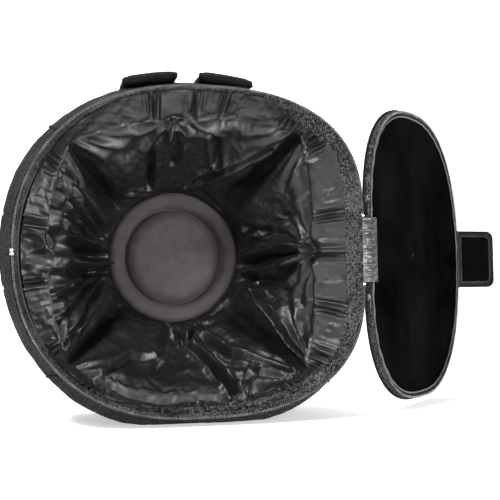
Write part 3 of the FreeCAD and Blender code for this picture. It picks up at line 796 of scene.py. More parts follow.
def rim_line(side, count):
    """Where the lining's gathered edge is sewn to the facing."""
    share = rim_share(side, count)
    deep = side_line(side, RIM_STATION, count)
    front = side_line(side, (MOUTH_Y + 2.9 * MM, -4.6 * MM, 0.0, MOUTH_FOOT), count)
    return front + (deep - front) * share[:, None]


def lining_lines():
    """Rim, chord and base lines of the lining round the bag, with equal counts of points on the sides."""
    rims, chords, bases = [], [], []
    for side in SIDES:
        corner = side_line(side, CHORD_STATION, 2)
        way = np.array(OUTWARD[side], dtype=float)
        centre = np.array([0, CHORD_Y, MID_Z])
        chord = arc_through(corner[0], centre + way * CHORD_REACH[side], corner[-1], PER_SIDE + 1)
        u = np.linspace(0, 1, PER_SIDE + 1)
        tack = TACKS[side]
        bulge = np.sin(np.pi * np.where(u < tack, u / tack, (1 - u) / (1 - tack))) * 5.0
        pinch = -7.0 * np.exp(-np.abs(u - tack) / 0.05)
        quiver = 1.2 * np.sin(u * 47 + tack * 9) * np.sin(np.pi * u)
        chords.append((chord + way * ((bulge + pinch + quiver) * MM)[:, None])[:-1])
        rims.append(rim_line(side, PER_SIDE + 1)[:-1])
        centre = np.array([0, BASE_Y, MID_Z])
        ends = []
        for point in corner:
            across = (point - centre) * np.array([1, 0, 1])
            ends.append(centre + across / np.linalg.norm(across) * FOOT_CORNER)
        bases.append(arc_through(ends[0], centre + way * FOOT_SIDE, ends[1], PER_SIDE + 1)[:-1])
    return np.concatenate(rims), np.concatenate(chords), np.concatenate(bases)


# where each side's fold is tacked, as a share of the side
TACKS = {"top": 0.45, "right": 0.5, "bottom": 0.46, "left": 0.5}
# creases: side, [(share of the side, share of the way down the panel)...], depth and width in mm.
# A way down below 0 is on the edge strip, and a depth below 0 is a ridge.
CREASES = [
    ("top", [(0.45, 0.0), (0.49, 0.3), (0.47, 0.55)], 5.0, 7.0),
    ("top", [(0.45, 0.0), (0.66, 0.22), (0.74, 0.5)], 8.0, 7.0),
    ("top", [(0.45, 0.0), (0.34, 0.35), (0.30, 0.85)], 6.5, 7.0),
    ("top", [(0.13, 0.8), (0.36, 1.0)], 5.0, 6.0),
    ("top", [(0.62, 0.9), (0.80, 0.55), (0.95, 0.25)], 6.0, 6.0),
    ("right", [(0.5, 0.0), (0.52, 0.5), (0.60, 1.0)], 13.0, 9.0),
    ("right", [(0.5, 0.0), (0.40, 0.35), (0.28, 0.8)], 5.0, 7.0),
    ("right", [(0.3, 0.2), (0.36, 0.6), (0.45, 0.9)], 4.0, 6.0),
    ("right", [(0.5, 0.0), (0.66, 0.40), (0.70, 0.9)], 8.0, 9.0),
    ("right", [(0.98, 0.05), (0.84, 0.4), (0.72, 0.7)], 7.0, 6.0),
    ("bottom", [(0.56, 1.0), (0.43, 0.70), (0.34, 0.40), (0.29, 0.05)], 14.0, 7.0),
    ("bottom", [(0.43, 0.70), (0.33, 0.86), (0.28, 1.0)], 8.0, 5.0),
    ("bottom", [(0.56, 1.0), (0.62, 0.6), (0.64, 0.3)], 5.0, 7.0),
    ("bottom", [(0.05, 0.1), (0.22, 0.45), (0.30, 0.75)], 8.0, 7.0),
    ("bottom", [(0.29, 0.05), (0.14, 0.22)], 7.0, 6.0),
    ("bottom", [(0.86, 0.12), (0.78, 0.4), (0.66, 0.5)], 6.0, 7.0),
    ("left", [(0.545, -0.2), (0.54, 0.4), (0.50, 1.0)], 22.0, 9.0),
    ("left", [(0.46, -0.2), (0.455, 0.4), (0.44, 1.0)], -12.0, 9.0),
    ("left", [(0.40, -0.2), (0.39, 0.4), (0.36, 1.0)], 8.0, 6.0),
    ("left", [(0.90, 0.1), (0.80, 0.5), (0.70, 0.9)], 5.0, 5.0),
    ("left", [(0.82, 0.05), (0.74, 0.4), (0.66, 0.8)], 5.0, 5.0),
    ("left", [(0.74, 0.05), (0.68, 0.4), (0.61, 0.8)], 5.0, 5.0),
    ("left", [(0.08, 0.1), (0.20, 0.5), (0.31, 0.85)], 5.0, 5.0),
    ("left", [(0.18, 0.05), (0.26, 0.4), (0.35, 0.8)], 5.0, 5.0),
    ("left", [(0.28, 0.05), (0.33, 0.4), (0.39, 0.8)], 4.0, 5.0),
]
# fans of small folds: side, share of the side, way down the panel, height in mm, rays, reach in mm
FANS = [
    ("top", 0.0, 0.0, 3.4, 11, 120), ("top", 1.0, 0.0, 2.6, 11, 110), ("top", 0.45, 0.0, 3.2, 9, 90),
    ("right", 0.0, 0.0, 2.0, 11, 110), ("right", 1.0, 0.0, 4.6, 12, 130), ("right", 0.5, 0.0, 3.4, 10, 80),
    ("bottom", 0.0, 0.0, 4.4, 12, 130), ("bottom", 1.0, 0.0, 3.2, 11, 110),
    ("bottom", 0.50, 1.0, 2.6, 9, 80),
    ("left", 0.0, 0.0, 3.6, 13, 140), ("left", 1.0, 0.0, 3.6, 14, 150),
]
# bunched gathers where the lining's edge is sewn on: share of the side and half width
GATHERS = {
    "top": [(0.36, 0.03), (0.53, 0.03), (0.64, 0.025), (0.92, 0.05)],
    "right": [(0.06, 0.04), (0.36, 0.035), (0.51, 0.03), (0.73, 0.035), (0.93, 0.04)],
    "bottom": [(0.10, 0.05), (0.32, 0.035), (0.47, 0.03), (0.61, 0.03), (0.88, 0.04)],
    "left": [(0.10, 0.04), (0.38, 0.03), (0.62, 0.03), (0.90, 0.04)],
}


def lining_grid():
    """The whole lining as one grid: rows from the rim to the base, columns round the bag."""
    rim, chord, base = lining_lines()
    t = np.linspace(0, 1, EDGE_ROWS)[:, None, None]
    edge = rim + (chord - rim) * t
    t = np.linspace(0, 1, PANEL_ROWS)[:, None, None]
    panel = chord + (base - chord) * t
    return np.concatenate([edge, panel[1:]])


def grid_place(grid, side, u, v):
    """The point at a share of a side and of the way down its panel; v below 0 is on the edge strip."""
    column = (list(SIDES).index(side) * PER_SIDE + u * PER_SIDE) % grid.shape[1]
    row = EDGE_ROWS - 1 + v * ((PANEL_ROWS - 1) if v >= 0 else (EDGE_ROWS - 1) / 0.25)
    row = min(max(row, 0), grid.shape[0] - 1)
    i, j = int(row), int(column)
    i = min(i, grid.shape[0] - 2)
    k = (j + 1) % grid.shape[1]
    a = grid[i, j] + (grid[i + 1, j] - grid[i, j]) * (row - i)
    b = grid[i, k] + (grid[i + 1, k] - grid[i, k]) * (row - i)
    return a + (b - a) * (column - j)


def distance_to_line(points, line):
    """Distance from every point to a line of straight runs."""
    best = np.full(len(points), 1e9)
    for a, b in zip(line, line[1:]):
        run = b - a
        share = np.clip((points - a) @ run / (run @ run), 0, 1)
        best = np.minimum(best, np.linalg.norm(points - a - share[:, None] * run, axis=1))
    return best


def side_mask(columns, side, soft=4):
    """1 on the columns of one side, falling to 0 at its seams."""
    first = list(SIDES).index(side) * PER_SIDE
    place = (np.arange(columns) - first) % columns
    inside = np.where(place <= PER_SIDE, np.minimum(place, PER_SIDE - place), 0)
    return np.clip(inside / soft, 0, 1)


def seam_height(columns):
    """Narrow valleys at the corner seams, a puff beside them, and a dip under the chord fold."""
    down = np.concatenate([np.zeros(EDGE_ROWS - 1), np.linspace(0, 1, PANEL_ROWS)])[:, None]
    place = np.arange(columns) % PER_SIDE
    off = np.minimum(place, PER_SIDE - place)[None, :] / PER_SIDE
    wide = off * (440 - 255 * down)
    valley = -17.0 * np.sin(np.pi * down) ** 0.4 * np.exp(-wide / 6.5)
    puff = 7.0 * np.sin(np.pi * down) * np.exp(-((off - 0.16) / 0.09) ** 2)
    under = -8.0 * np.exp(-((down - 0.045) / 0.04) ** 2) * (down > 0) * np.clip(wide / 30, 0, 1)
    return (valley + puff + under) * MM


def fold_height(grid):
    """How far each point of the lining stands into the bag, from its creases, fans and gathers."""
    rows, columns = grid.shape[:2]
    flat = grid.reshape(-1, 3)
    height = np.zeros(rows * columns)
    for side, places, deep, wide in CREASES:
        line = [grid_place(grid, side, u, v) for u, v in places]
        away = distance_to_line(flat, line) / (wide * MM)
        crease = -np.exp(-1.3 * away) + 0.45 * np.exp(-((away - 1.7) / 0.8) ** 2)
        height += deep * MM * crease * np.tile(side_mask(columns, side), rows)
    for number, (side, u, v, tall, rays, reach) in enumerate(FANS):
        centre = grid_place(grid, side, u, v)
        along = grid_place(grid, side, 0.9, 0.0) - grid_place(grid, side, 0.1, 0.0)
        down = grid_place(grid, side, 0.5, 0.9) - grid_place(grid, side, 0.5, 0.1)
        away = flat - centre
        x = away @ (along / np.linalg.norm(along))
        y = away @ (down / np.linalg.norm(down))
        angle = np.arctan2(y, x)
        distance = np.hypot(x, y)
        wave = np.sin(angle * rays * 1.6 + 1.4 * np.sin(angle * 3.1 + number) + number)
        fade = distance / (distance + 14 * MM) * np.exp(-(distance / (reach * MM)) ** 2)
        fan = tall * MM * wave * fade * np.tile(side_mask(columns, side, 2), rows)
        height += fan * (np.arange(rows * columns) >= (EDGE_ROWS - 1) * columns)
    height = height.reshape(rows, columns) + seam_height(columns)
    height[:EDGE_ROWS] *= np.linspace(0.0, 1, EDGE_ROWS)[:, None] ** 0.6
    for side, bunches in GATHERS.items():
        first = list(SIDES).index(side) * PER_SIDE
        u = np.arange(PER_SIDE) / PER_SIDE
        loose = sum(np.exp(-((u - place) / wide) ** 2) for place, wide in bunches)
        wave = np.sin(u * PER_SIDE * 1.9 + 2.2 * np.sin(u * 21)) * (0.10 + 2.3 * loose)
        fade = np.linspace(0.35, 0, EDGE_ROWS) + np.sin(np.linspace(0, np.pi, EDGE_ROWS)) * 0.7
        height[:EDGE_ROWS, first:first + PER_SIDE] += wave * fade[:, None] * 2.8 * MM
    height[-FADE_ROWS:] *= np.linspace(1, 0, FADE_ROWS)[:, None]
    return height


CLOTH_SETTINGS = {
    "quality": 4, "mass": 0.12, "tension_stiffness": 14, "compression_stiffness": 14, "shear_stiffness": 6,
    "bending_stiffness": 0.15, "tension_damping": 12, "compression_damping": 12, "shear_damping": 12,
    "bending_damping": 0.6, "air_damping": 3.0, "vertex_group_mass": "pin", "pin_stiffness": 1.0,
}
SPARE_CLOTH = 0.018
SETTLE_FRAMES = 12
FARTHEST_FOLD = 30 * MM


def settle(grid, pins, spare, frames, gravity):
    """Hang a looped grid of cloth by its pinned points, with spare cloth that buckles into folds."""
    rows, columns = grid.shape[:2]
    faces, _ = grid_faces(rows, columns, True, 0, False)
    obj = make_object("cloth_draft", grid.reshape(-1, 3), faces)
    group = obj.vertex_groups.new(name="pin")
    flat = pins.ravel()
    for value in np.unique(flat[flat > 0]):
        group.add([int(i) for i in np.flatnonzero(flat == value)], float(value), "REPLACE")
    cloth = obj.modifiers.new("Cloth", "CLOTH")
    s = cloth.settings
    for key, value in CLOTH_SETTINGS.items():
        setattr(s, key, value)
    s.shrink_min = -spare
    s.effector_weights.gravity = gravity
    cloth.point_cache.frame_start = 1
    cloth.point_cache.frame_end = frames
    scene = bpy.context.scene
    for number in range(1, frames + 1):
        scene.frame_set(number)
    mesh = obj.evaluated_get(bpy.context.evaluated_depsgraph_get()).to_mesh()
    settled = np.empty(len(mesh.vertices) * 3)
    mesh.vertices.foreach_get("co", settled)
    bpy.data.objects.remove(obj)
    scene.frame_set(1)
    return settled.reshape(rows, columns, 3)


def lining_pins(rows, columns):
    """How firmly each point is held: the rim, the chord fold, the base, the corner seams and the tacks."""
    pins = np.zeros((rows, columns))
    pins[EDGE_ROWS - 1] = 0.9
    for number, side in enumerate(SIDES):
        pins[EDGE_ROWS:, number * PER_SIDE] = 0.8
        pins[EDGE_ROWS - 2:EDGE_ROWS + 1, number * PER_SIDE] = 1
        tack = int(number * PER_SIDE + TACKS[side] * PER_SIDE)
        pins[EDGE_ROWS - 1:EDGE_ROWS + 1, tack:tack + 2] = 1
    pins[-2:] = 1
    pins[0] = 1
    return pins


def make_lining():
    grid = lining_grid()
    rows, columns = grid.shape[:2]
    inward = grid_normals(grid, True)
    inward *= -np.sign((inward * (grid - np.array([0, BACK_Y, MID_Z]))).sum(axis=2))[:, :, None]
    rough = smooth_noise(grid.reshape(-1, 3), 0.05, 11, 4).reshape(rows, columns)
    rough += 0.3 * smooth_noise(grid.reshape(-1, 3), 0.018, 12, 2).reshape(rows, columns)
    pins = lining_pins(rows, columns)
    rough[[0, -1, -2, -3]] = 0
    rough[:EDGE_ROWS] *= np.where((np.arange(columns) // PER_SIDE) % 2 == 0, 1.0, 0.55)
    folds = fold_height(grid)
    start = grid + inward * (rough * 2.8 * MM + folds)[:, :, None]
    hung = settle(start, pins, SPARE_CLOTH, SETTLE_FRAMES, 0.0)
    hung = hung + inward * folds[:, :, None] * 0.8
    offset = hung - grid
    length = np.linalg.norm(offset, axis=2, keepdims=True)
    hung = grid + offset * np.minimum(1.0, FARTHEST_FOLD / np.maximum(length, 1e-9))
    save_lining(hung)


def save_lining(hung):
    """Cut the hung lining at its seams into the pieces it was sewn from."""
    columns = hung.shape[1]
    for number, side in enumerate(SIDES):
        span = [(number * PER_SIDE + k) % columns for k in range(PER_SIDE + 1)]
        for kind, rows in (("edge", slice(0, EDGE_ROWS)), ("panel", slice(EDGE_ROWS - 1, None))):
            part = hung[rows][:, span]
            centre = part.mean(axis=(0, 1))
            normal = grid_normals(part, False).mean(axis=(0, 1))
            flip = normal @ (np.array([0, centre[1], MID_Z]) - centre) < 0
            obj = sheet_object("lining_%s_%s_satin" % (kind, side), part, 0.5 * MM, flip=flip)
            dress(obj, "bag", "lining_satin", LINING, "lining_%s_%s" % (kind, side))
            smoother = obj.modifiers.new("smooth", "SUBSURF")
            smoother.levels = 1
            smoother.render_levels = 1


# ---------------------------------------------------------------- base pad


def lathe_grid(profile, count, centre):
    """A turned surface about the bag's axis: profile is (radius, y)."""
    turn = np.linspace(0, 2 * math.pi, count, endpoint=False)
    x, z = np.cos(turn), np.sin(turn)
    return np.stack([np.stack([centre[0] + radius * x, np.full(count, y), centre[2] + radius * z], axis=1)
                     for radius, y in profile])


def lathe_object(name, profile, count, centre, shape=None, closed=False):
    """A turned solid. An open profile starts and ends near the axis; a closed one is a ring."""
    grid = lathe_grid(profile, count, centre)
    if shape is not None:
        grid = shape(grid)
    rows = len(grid)
    faces, uvs = [], []
    for i in range(rows if closed else rows - 1):
        for j in range(count):
            k, n = (j + 1) % count, (i + 1) % rows
            face = [i * count + j, i * count + k, n * count + k, n * count + j]
            faces.append(face)
            uvs += [tuple(grid.reshape(-1, 3)[v][[0, 2]]) for v in face]
    if not closed:
        for ring in (list(range(count))[::-1], list(range((rows - 1) * count, rows * count))):
            faces.append(ring)
            uvs += [tuple(grid.reshape(-1, 3)[v][[0, 2]]) for v in ring]
    return make_object(name, grid.reshape(-1, 3), faces, uvs, 50.0)


def rounded_edge(radius, front, soft, first, last, deep):
    """Points of a padded edge: the first half turns in from an outer side, the second into a hole."""
    middle = radius - soft if first < 0.5 else radius + soft
    angles = np.linspace(first * math.pi, last * math.pi, 9)
    return [(middle + soft * math.cos(a), front + deep - deep * math.sin(a)) for a in angles]


def make_base_pad():
    low, high = box("base_pad_ring")
    centre = (low + high) / 2
    radius = (high[0] - low[0]) / 2
    front, back = low[1], high[1]
    inner = radius - 29 * MM
    profile = [(inner + 2 * MM, back), (radius - 1 * MM, back)]
    profile += rounded_edge(radius, front, 9 * MM, 0.0, 0.5, 9 * MM)
    profile += rounded_edge(inner, front, 16 * MM, 0.5, 1.0, back - front - 2 * MM)

    def uneven(grid):
        lump = smooth_noise(grid.reshape(-1, 3), 0.09, 91).reshape(grid.shape[:2])
        grid[:, :, 1] -= np.where(grid[:, :, 1] < back - 1 * MM, lump * 1.2 * MM, 0)
        return grid

    ring = lathe_object("pad_ring_felt", profile, 160, centre, uneven, closed=True)
    dress(ring, "bag", "pad_felt", FELT, "base_pad_ring")
    low, high = box("base_pad_disc")
    front, back, radius = low[1], high[1], (high[0] - low[0]) / 2
    profile = [(0.4 * MM, back), (radius - 1 * MM, back)]
    profile += rounded_edge(radius, front, 24 * MM, 0.0, 0.5, back - front - 2 * MM)
    profile += [(radius * t, front) for t in (0.68, 0.6, 0.5, 0.4, 0.25, 0.12, 0.01)]
    disc = lathe_object("pad_disc_felt", profile, 160, centre, uneven)
    dress(disc, "bag", "pad_felt", FELT, "base_pad_disc")


# ---------------------------------------------------------------- shoulder straps


STRAP_THICK = 15 * MM
STRAP_BEND = 34 * MM


def strap_path():
    """Centre line of a strap, seen from the side: points (y, z) from the front end to the lower one."""
    low, high = box("shoulder_strap_right")
    bend = STRAP_BEND + STRAP_THICK / 2
    y_back, z_top = high[1] - STRAP_THICK / 2, high[2] - STRAP_THICK / 2
    points = [(low[1], z_top)] + [(y, z_top) for y in np.linspace(low[1], y_back - bend, 40)[1:]]
    for a in np.linspace(0, math.pi / 2, 16)[1:]:
        points.append((y_back - bend + bend * math.sin(a), z_top - bend + bend * math.cos(a)))
    points += [(y_back, z) for z in np.linspace(z_top - bend, low[2], 50)[1:]]
    return np.array(points)


def make_strap(name, sign):
    low, high = box("shoulder_strap_" + name)
    path = strap_path()
    steps = np.concatenate([[0], np.cumsum(np.linalg.norm(np.diff(path, axis=0), axis=1))])
    total = steps[-1]
    count = 120
    at = np.linspace(0, total, count)
    centre = np.stack([np.interp(at, steps, path[:, 0]), np.interp(at, steps, path[:, 1])], axis=1)
    tangent = unit(np.gradient(centre, axis=0))
    normal = np.stack([-tangent[:, 1], tangent[:, 0]], axis=1)
    around = 40
    turn = np.linspace(0, 2 * math.pi, around, endpoint=False)
    half = (high[0] - low[0]) / 2
    middle = (high[0] + low[0]) / 2
    grid = np.zeros((count, around, 3))
    for i in range(count):
        end = min(at[i], total - at[i]) / (9 * MM)
        round_end = math.sqrt(max(0.0, 1 - (1 - min(end, 1.0)) ** 2))
        width = half * (0.86 + 0.14 * round_end)
        height = STRAP_THICK / 2 * (0.25 + 0.7 * round_end)
        cross_u = np.sign(np.cos(turn)) * np.abs(np.cos(turn)) ** 0.3
        cross_v = np.sign(np.sin(turn)) * np.abs(np.sin(turn)) ** 0.5
        quilt = 1 - 0.16 * np.exp(-((np.abs(cross_u) - 0.86) / 0.05) ** 2)
        top = np.clip(normal[i, 1], 0, 1)
        x = middle + cross_u * width
        off = cross_v * height * quilt
        drop = 0.0
        if top > 0:
            outer = np.clip((np.abs(x) - 18 * MM) / (88 * MM), 0, 1)
            drop = top * (11.5 * MM) * outer ** 1.6
        grid[i, :, 0] = x
        grid[i, :, 1] = centre[i, 0] + normal[i, 0] * off
        grid[i, :, 2] = centre[i, 1] + normal[i, 1] * off - drop
    lump = smooth_noise(grid.reshape(-1, 3), 0.05, 120 + sign).reshape(count, around)
    rim = np.exp(-np.minimum(at, total - at) / (22 * MM))[:, None]
    grid += (grid - grid.mean(axis=1, keepdims=True)) * (lump * (0.02 + 0.06 * rim))[:, :, None]
    obj = ring_stack("strap_padding_" + name, grid)
    dress(obj, "bag", "strap_cloth", STRAP, "shoulder_strap_" + name)


def ring_stack(name, grid):
    """A solid lofted through rings of points."""
    rows, columns = grid.shape[:2]
    faces, places = grid_faces(rows, columns, True, 0, False)
    along, down = cloth_lengths(grid, True)
    uvs = [(down[i], along[j]) for face in places for i, j in face]
    for ring in (list(range(columns))[::-1], list(range((rows - 1) * columns, rows * columns))):
        faces.append(ring)
        uvs += [(0.0, 0.0)] * columns
    return make_object(name, grid.reshape(-1, 3), faces, uvs, 60.0)


def flat_strip(name, points, width, thickness, count=40):
    """A strip of webbing along a line of (x, y, z) centre points, lying across X."""
    line = evenly(np.array(points, dtype=float), count)
    tangent = unit(np.gradient(line, axis=0))
    normal = np.cross(np.array([1.0, 0, 0]), tangent)
    grid = line[:, None, :] + np.linspace(-0.5, 0.5, 14)[None, :, None] * np.array([width, 0, 0])
    grid = grid + normal[:, None, :] * thickness / 2
    flip = grid_normals(grid, False)[5, 5] @ normal[5] < 0
    return sheet_object(name, grid, thickness, flip=flip), grid


LOCK_BAR = 5 * MM
# the webbing's way through the lock: offsets (y, z) in mm from the lock's middle and from a named height
HANGER_RUN = [(0, "hang", 6), (0, "top", 6), (4.4, "top", 2), (4.4, "top", -2), (2, "top", -5),
              (-2, "top", -5), (-4.4, "top", -1), (-3, "top", 6), (-2.2, "hang", 0)]
ADJUST_RUN = [(-2, "web", -6), (-4.6, "low", -1), (-4.6, "low", 3), (-1, "low", 6.5), (3, "middle", -4),
              (4.6, "middle", 0), (2.6, "middle", 4), (-2, "middle", 4.5), (-4.6, "middle", 0),
              (-2.6, "middle", -4), (3, "low", 4), (4.8, "low", 0), (4.2, "web", -16), (3, "web", -46)]


def make_strap_hardware(name):
    low, high = box("ladder_lock_" + name)
    centre = (low + high) / 2
    half = LOCK_BAR / 2
    bars = [low[2] + half, centre[2], high[2] - half]
    parts = [([low[0], low[1], z - half], [high[0], high[1], z + half]) for z in bars]
    for x in (low[0] + half, high[0] - half):
        parts.append(([x - half, low[1], low[2]], [x + half, high[1], high[2]]))
    for number, (a, b) in enumerate(parts):
        obj = block_object("lock_%s_%d" % (name, number), a, b, 1.6 * MM)
        dress(obj, "bag", "lock_plastic", LOCK, *(["ladder_lock_" + name] if number == 0 else []))

    hang_low, hang_high = box("strap_hanger_" + name)
    web_low, web_high = box("strap_webbing_" + name)
    x, y = centre[:2]
    heights = dict(zip(("low", "middle", "top"), bars), hang=hang_high[2], web=web_high[2])
    loop, run = ([(x, y + off * MM, heights[at] + up * MM) for off, at, up in way]
                 for way in (HANGER_RUN, ADJUST_RUN))
    back = BACK_Y + 2.2 * MM
    run = [(x, back, web_low[2] - 12 * MM), (x, back, web_low[2] + 2 * MM)] + run
    obj, grid = flat_strip("hanger_web_" + name, loop, hang_high[0] - hang_low[0], 1.5 * MM, 60)
    dress(obj, "bag", "webbing", WEBBING, "strap_hanger_" + name)
    obj, grid = flat_strip("adjust_web_" + name, run, web_high[0] - web_low[0], 1.4 * MM, 150)
    dress(obj, "bag", "webbing", WEBBING, "strap_webbing_" + name)
    low, high = box("strap_anchor_" + name)
    obj = block_object("anchor_patch_" + name, low, high + np.array([0, 0.4 * MM, 0]), 0.6 * MM)
    dress(obj, "bag", "webbing", BINDING, "strap_anchor_" + name)


# ---------------------------------------------------------------- sliders and pulls


def make_slider(name):
    low, high = box("zip_slider_" + name)
    centre = (low + high) / 2

    def waist(p):
        share = abs(p[2] - centre[2]) / (high[2] - centre[2])
        p[1] = centre[1] + (p[1] - centre[1]) * (0.78 + 0.22 * share)
        return p

    body_high = [low[0] + 3.3 * MM, high[1], high[2]]
    body = block_object("slider_body_" + name, low, body_high, 0.9 * MM, shape=waist)
    dress(body, "bag", "slider_metal", SLIDER, "zip_slider_" + name)
    bridge = []
    for a in np.linspace(0, math.pi, 15):
        bridge.append((low[0] + 2.6 * MM + 3.6 * MM * math.sin(a), centre[1],
                       centre[2] + 4.2 * MM * math.cos(a)))
    bridge_obj = tube_object("slider_bridge_" + name, np.array(bridge), 0.75 * MM, 10, up=(0, 1, 0),
                             squash=1.6)
    dress(bridge_obj, "bag", "slider_metal", STEEL)
    low, high = box("zip_pull_" + name)
    centre = (low + high) / 2
    ring = []
    for a in np.linspace(0, 2 * math.pi, 24, endpoint=False):
        ring.append((centre[0], centre[1] + 2.3 * MM * math.cos(a),
                     high[2] - 2.6 * MM + 2.6 * MM * math.sin(a)))
    ring_obj = tube_object("pull_ring_" + name, np.array(ring), 0.6 * MM, 8, closed=True, up=(1, 0, 0))
    dress(ring_obj, name + "_pull", "slider_metal", STEEL)

    def taper(p):
        share = (high[2] - p[2]) / (high[2] - low[2])
        p[1] = centre[1] + (p[1] - centre[1]) * (0.72 + 0.28 * math.sin(share * 2.6))
        p[0] = centre[0] + (p[0] - centre[0]) * (0.7 + 0.3 * share)
        return p

    grip_high = [high[0], high[1], high[2] - 4.4 * MM]
    pull = block_object("pull_grip_" + name, low, grip_high, 1.1 * MM, shape=taper)
    dress(pull, name + "_pull", "slider_metal", SLIDER, "zip_pull_" + name)


# ---------------------------------------------------------------- lid


def lid_loop(depth, inset, count):
    """A loop of the shut lid's outline at a depth in front of the hinge plane."""
    return loop_line((HINGE[1] - depth, -inset, 0.0, MOUTH_FOOT), count)


DOME_HEIGHT = 9 * MM
DOME_RUN = 38 * MM


def dome_rise(inset):
    """Height of the dome above its edge at a distance in from the edge."""
    return DOME_HEIGHT * (1 - math.exp(-inset / DOME_RUN)) * 1.02


def dome_grid(depth, start, rings, count, seed, wave, level):
    """Grid over the lid's dome, shut: rows from the edge to the middle."""
    outer, inner = np.linspace(start, 40 * MM, rings // 2), np.linspace(48 * MM, 150 * MM, rings // 2)
    insets = np.concatenate([outer, inner])
    lines = [lid_loop(depth + dome_rise(inset - start), inset, count) for inset in insets]
    edge = lines[-1]
    centre = edge.mean(axis=0)
    lines += [centre + (edge - centre) * share for share in np.linspace(0.85, 0.03, 10)]
    grid = np.stack(lines)
    bump = smooth_noise(grid.reshape(-1, 3), wave, seed).reshape(grid.shape[:2]) * level
    fade = np.clip(np.arange(len(grid)) / 5.0, 0, 1)[:, None]
    grid[:, :, 1] += bump * fade
    return grid


def make_lid():
    grid = dome_grid(14 * MM, 0.0, 22, 300, 140, 0.11, 0.7 * MM)
    flip = grid_normals(grid, True)[3, 3, 1] > 0
    sew("lid_cloth", grid, 1.1 * MM, "lid", "outer_cloth", CLOTH, "lid_outer",
        flip=flip, wrap=True, lay=swing)
    fill_foam("lid_foam")
    grid = dome_grid(6.6 * MM, 3.4 * MM, 22, 300, 150, 0.14, 0.5 * MM)
    grid[:, :, 1] += 0.4 * MM
    flip = grid_normals(grid, True)[3, 3, 1] < 0
    sew("lid_lining_satin", grid, 0.6 * MM, "lid", "lid_satin", LID_SATIN, "lid_lining",
        flip=flip, wrap=True, lay=swing)
    make_lid_edge()


def make_lid_edge():
    count = 720
    depths = np.linspace(13.6 * MM, 3.2 * MM, 9)
    grid = np.stack([lid_loop(d, 0.0, count) for d in depths])
    middle = np.array([0, 0, MID_Z])
    out = unit((grid - middle) * np.array([1, 0, 1]))
    ripple = smooth_noise(grid.reshape(-1, 3), 0.022, 160).reshape(grid.shape[:2]) * 0.45 * MM
    swell = np.sin(np.linspace(0, math.pi, 9))[:, None] * 0.7 * MM
    grid = grid + out * (ripple + swell)[:, :, None]
    flip = (grid_normals(grid, True)[4, 4] @ out[4, 4]) < 0
    sew("lid_gusset_cloth", grid, 1.2 * MM, "lid", "outer_cloth", FACING, "lid_gusset",
        flip=flip, wrap=True, lay=swing)
    path = swing(loop_line((HINGE[1] - 14.2 * MM, 1.6 * MM, 0.0, MOUTH_FOOT), 420))
    obj = tube_object("lid_piping_cord", path, 1.7 * MM, 10, closed=True, up=LID_UP)
    dress(obj, "lid", "seam_piping", BINDING, "lid_piping")
    obj = make_teeth("zip_teeth_lid", HINGE[1] - 1.6 * MM, True)
    dress(obj, "lid", "zip_coil", TEETH, "zip_coil_lid")
    rows = 5
    grid = np.stack([evenly(zip_line(HINGE[1] - (3.2 + 1.0 * t) * MM, (-1.0 - 8.0 * t) * MM, 0.5 * MM), 520)
                     for t in np.linspace(0, 1, rows)])
    flip = grid_normals(grid, False)[2, 2, 1] < 0
    sew("zip_tape_lid_cloth", grid, 0.6 * MM, "lid", "zip_tape", TAPE, "zip_tape_lid", flip=flip, lay=swing)
    line = loop_line((HINGE[1] - 4.2 * MM, -9.5 * MM, 0.0, MOUTH_FOOT), 900)
    wave = np.sin(np.arange(len(line)) * 0.29) + 0.6 * np.sin(np.arange(len(line)) * 0.071 + 1)
    line[:, 1] += wave * 0.35 * MM
    obj = tube_object("lid_binding_edge", swing(line), 1.5 * MM * (1 + 0.12 * wave / 1.6), 10, closed=True,
                      up=LID_UP)
    dress(obj, "lid", "seam_binding", PALE_BINDING, "lid_seam_binding")


def make_hinge_web():
    """One strip of satin from the mouth to the lid across the hinge line."""
    rows, columns = 40, 130
    height = 2 * 53 * MM
    z = np.linspace(-height / 2, height / 2, columns)
    start = np.array([HALF_W - 3.0 * MM, MOUTH_Y + 0.9 * MM])
    turn = HINGE[:2]
    way = np.array([math.cos(OPEN_ANGLE + math.pi), math.sin(OPEN_ANGLE + math.pi)])
    inner = np.array([-way[1], way[0]])
    knots = [start, np.array([turn[0] - 6 * MM, turn[1] + 0.8 * MM]),
             turn + way * 5 * MM - inner * 0.5 * MM, turn + way * 12 * MM - inner * 1.5 * MM,
             turn + way * 26 * MM - inner * 2.0 * MM]
    knots = np.array([[p[0], p[1], 0.0] for p in knots])
    line = evenly(knots, rows)
    for _ in range(6):
        line[1:-1] = (line[:-2] + 2 * line[1:-1] + line[2:]) / 4
    grid = np.repeat(line[:, None, :], columns, axis=1)
    grid[:, :, 2] = MID_Z + z[None, :]
    fade = np.sin(np.linspace(0, math.pi, rows))[:, None]
    squeezed = (grid * np.array([0.5, 0.5, 1.6])).reshape(-1, 3)
    folds = smooth_noise(squeezed, 0.014, 170, 2).reshape(rows, columns)
    tangent = unit(np.gradient(line, axis=0))
    normal = np.stack([tangent[:, 1], -tangent[:, 0], np.zeros(rows)], axis=1)
    grid = grid + normal[:, None, :] * (folds * fade * 2.2 * MM + 0.4 * MM)[:, :, None]
    flip = grid_normals(grid, False)[20, 20] @ normal[20] < 0
    obj = sheet_object("hinge_web_satin", grid, 0.8 * MM, flip=flip)
    obj.data.materials.append(PALE_SATIN)
    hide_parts("hinge_web_lid", "hinge_web_body")
    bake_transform(obj)


# ---------------------------------------------------------------- closure tab and loop patch


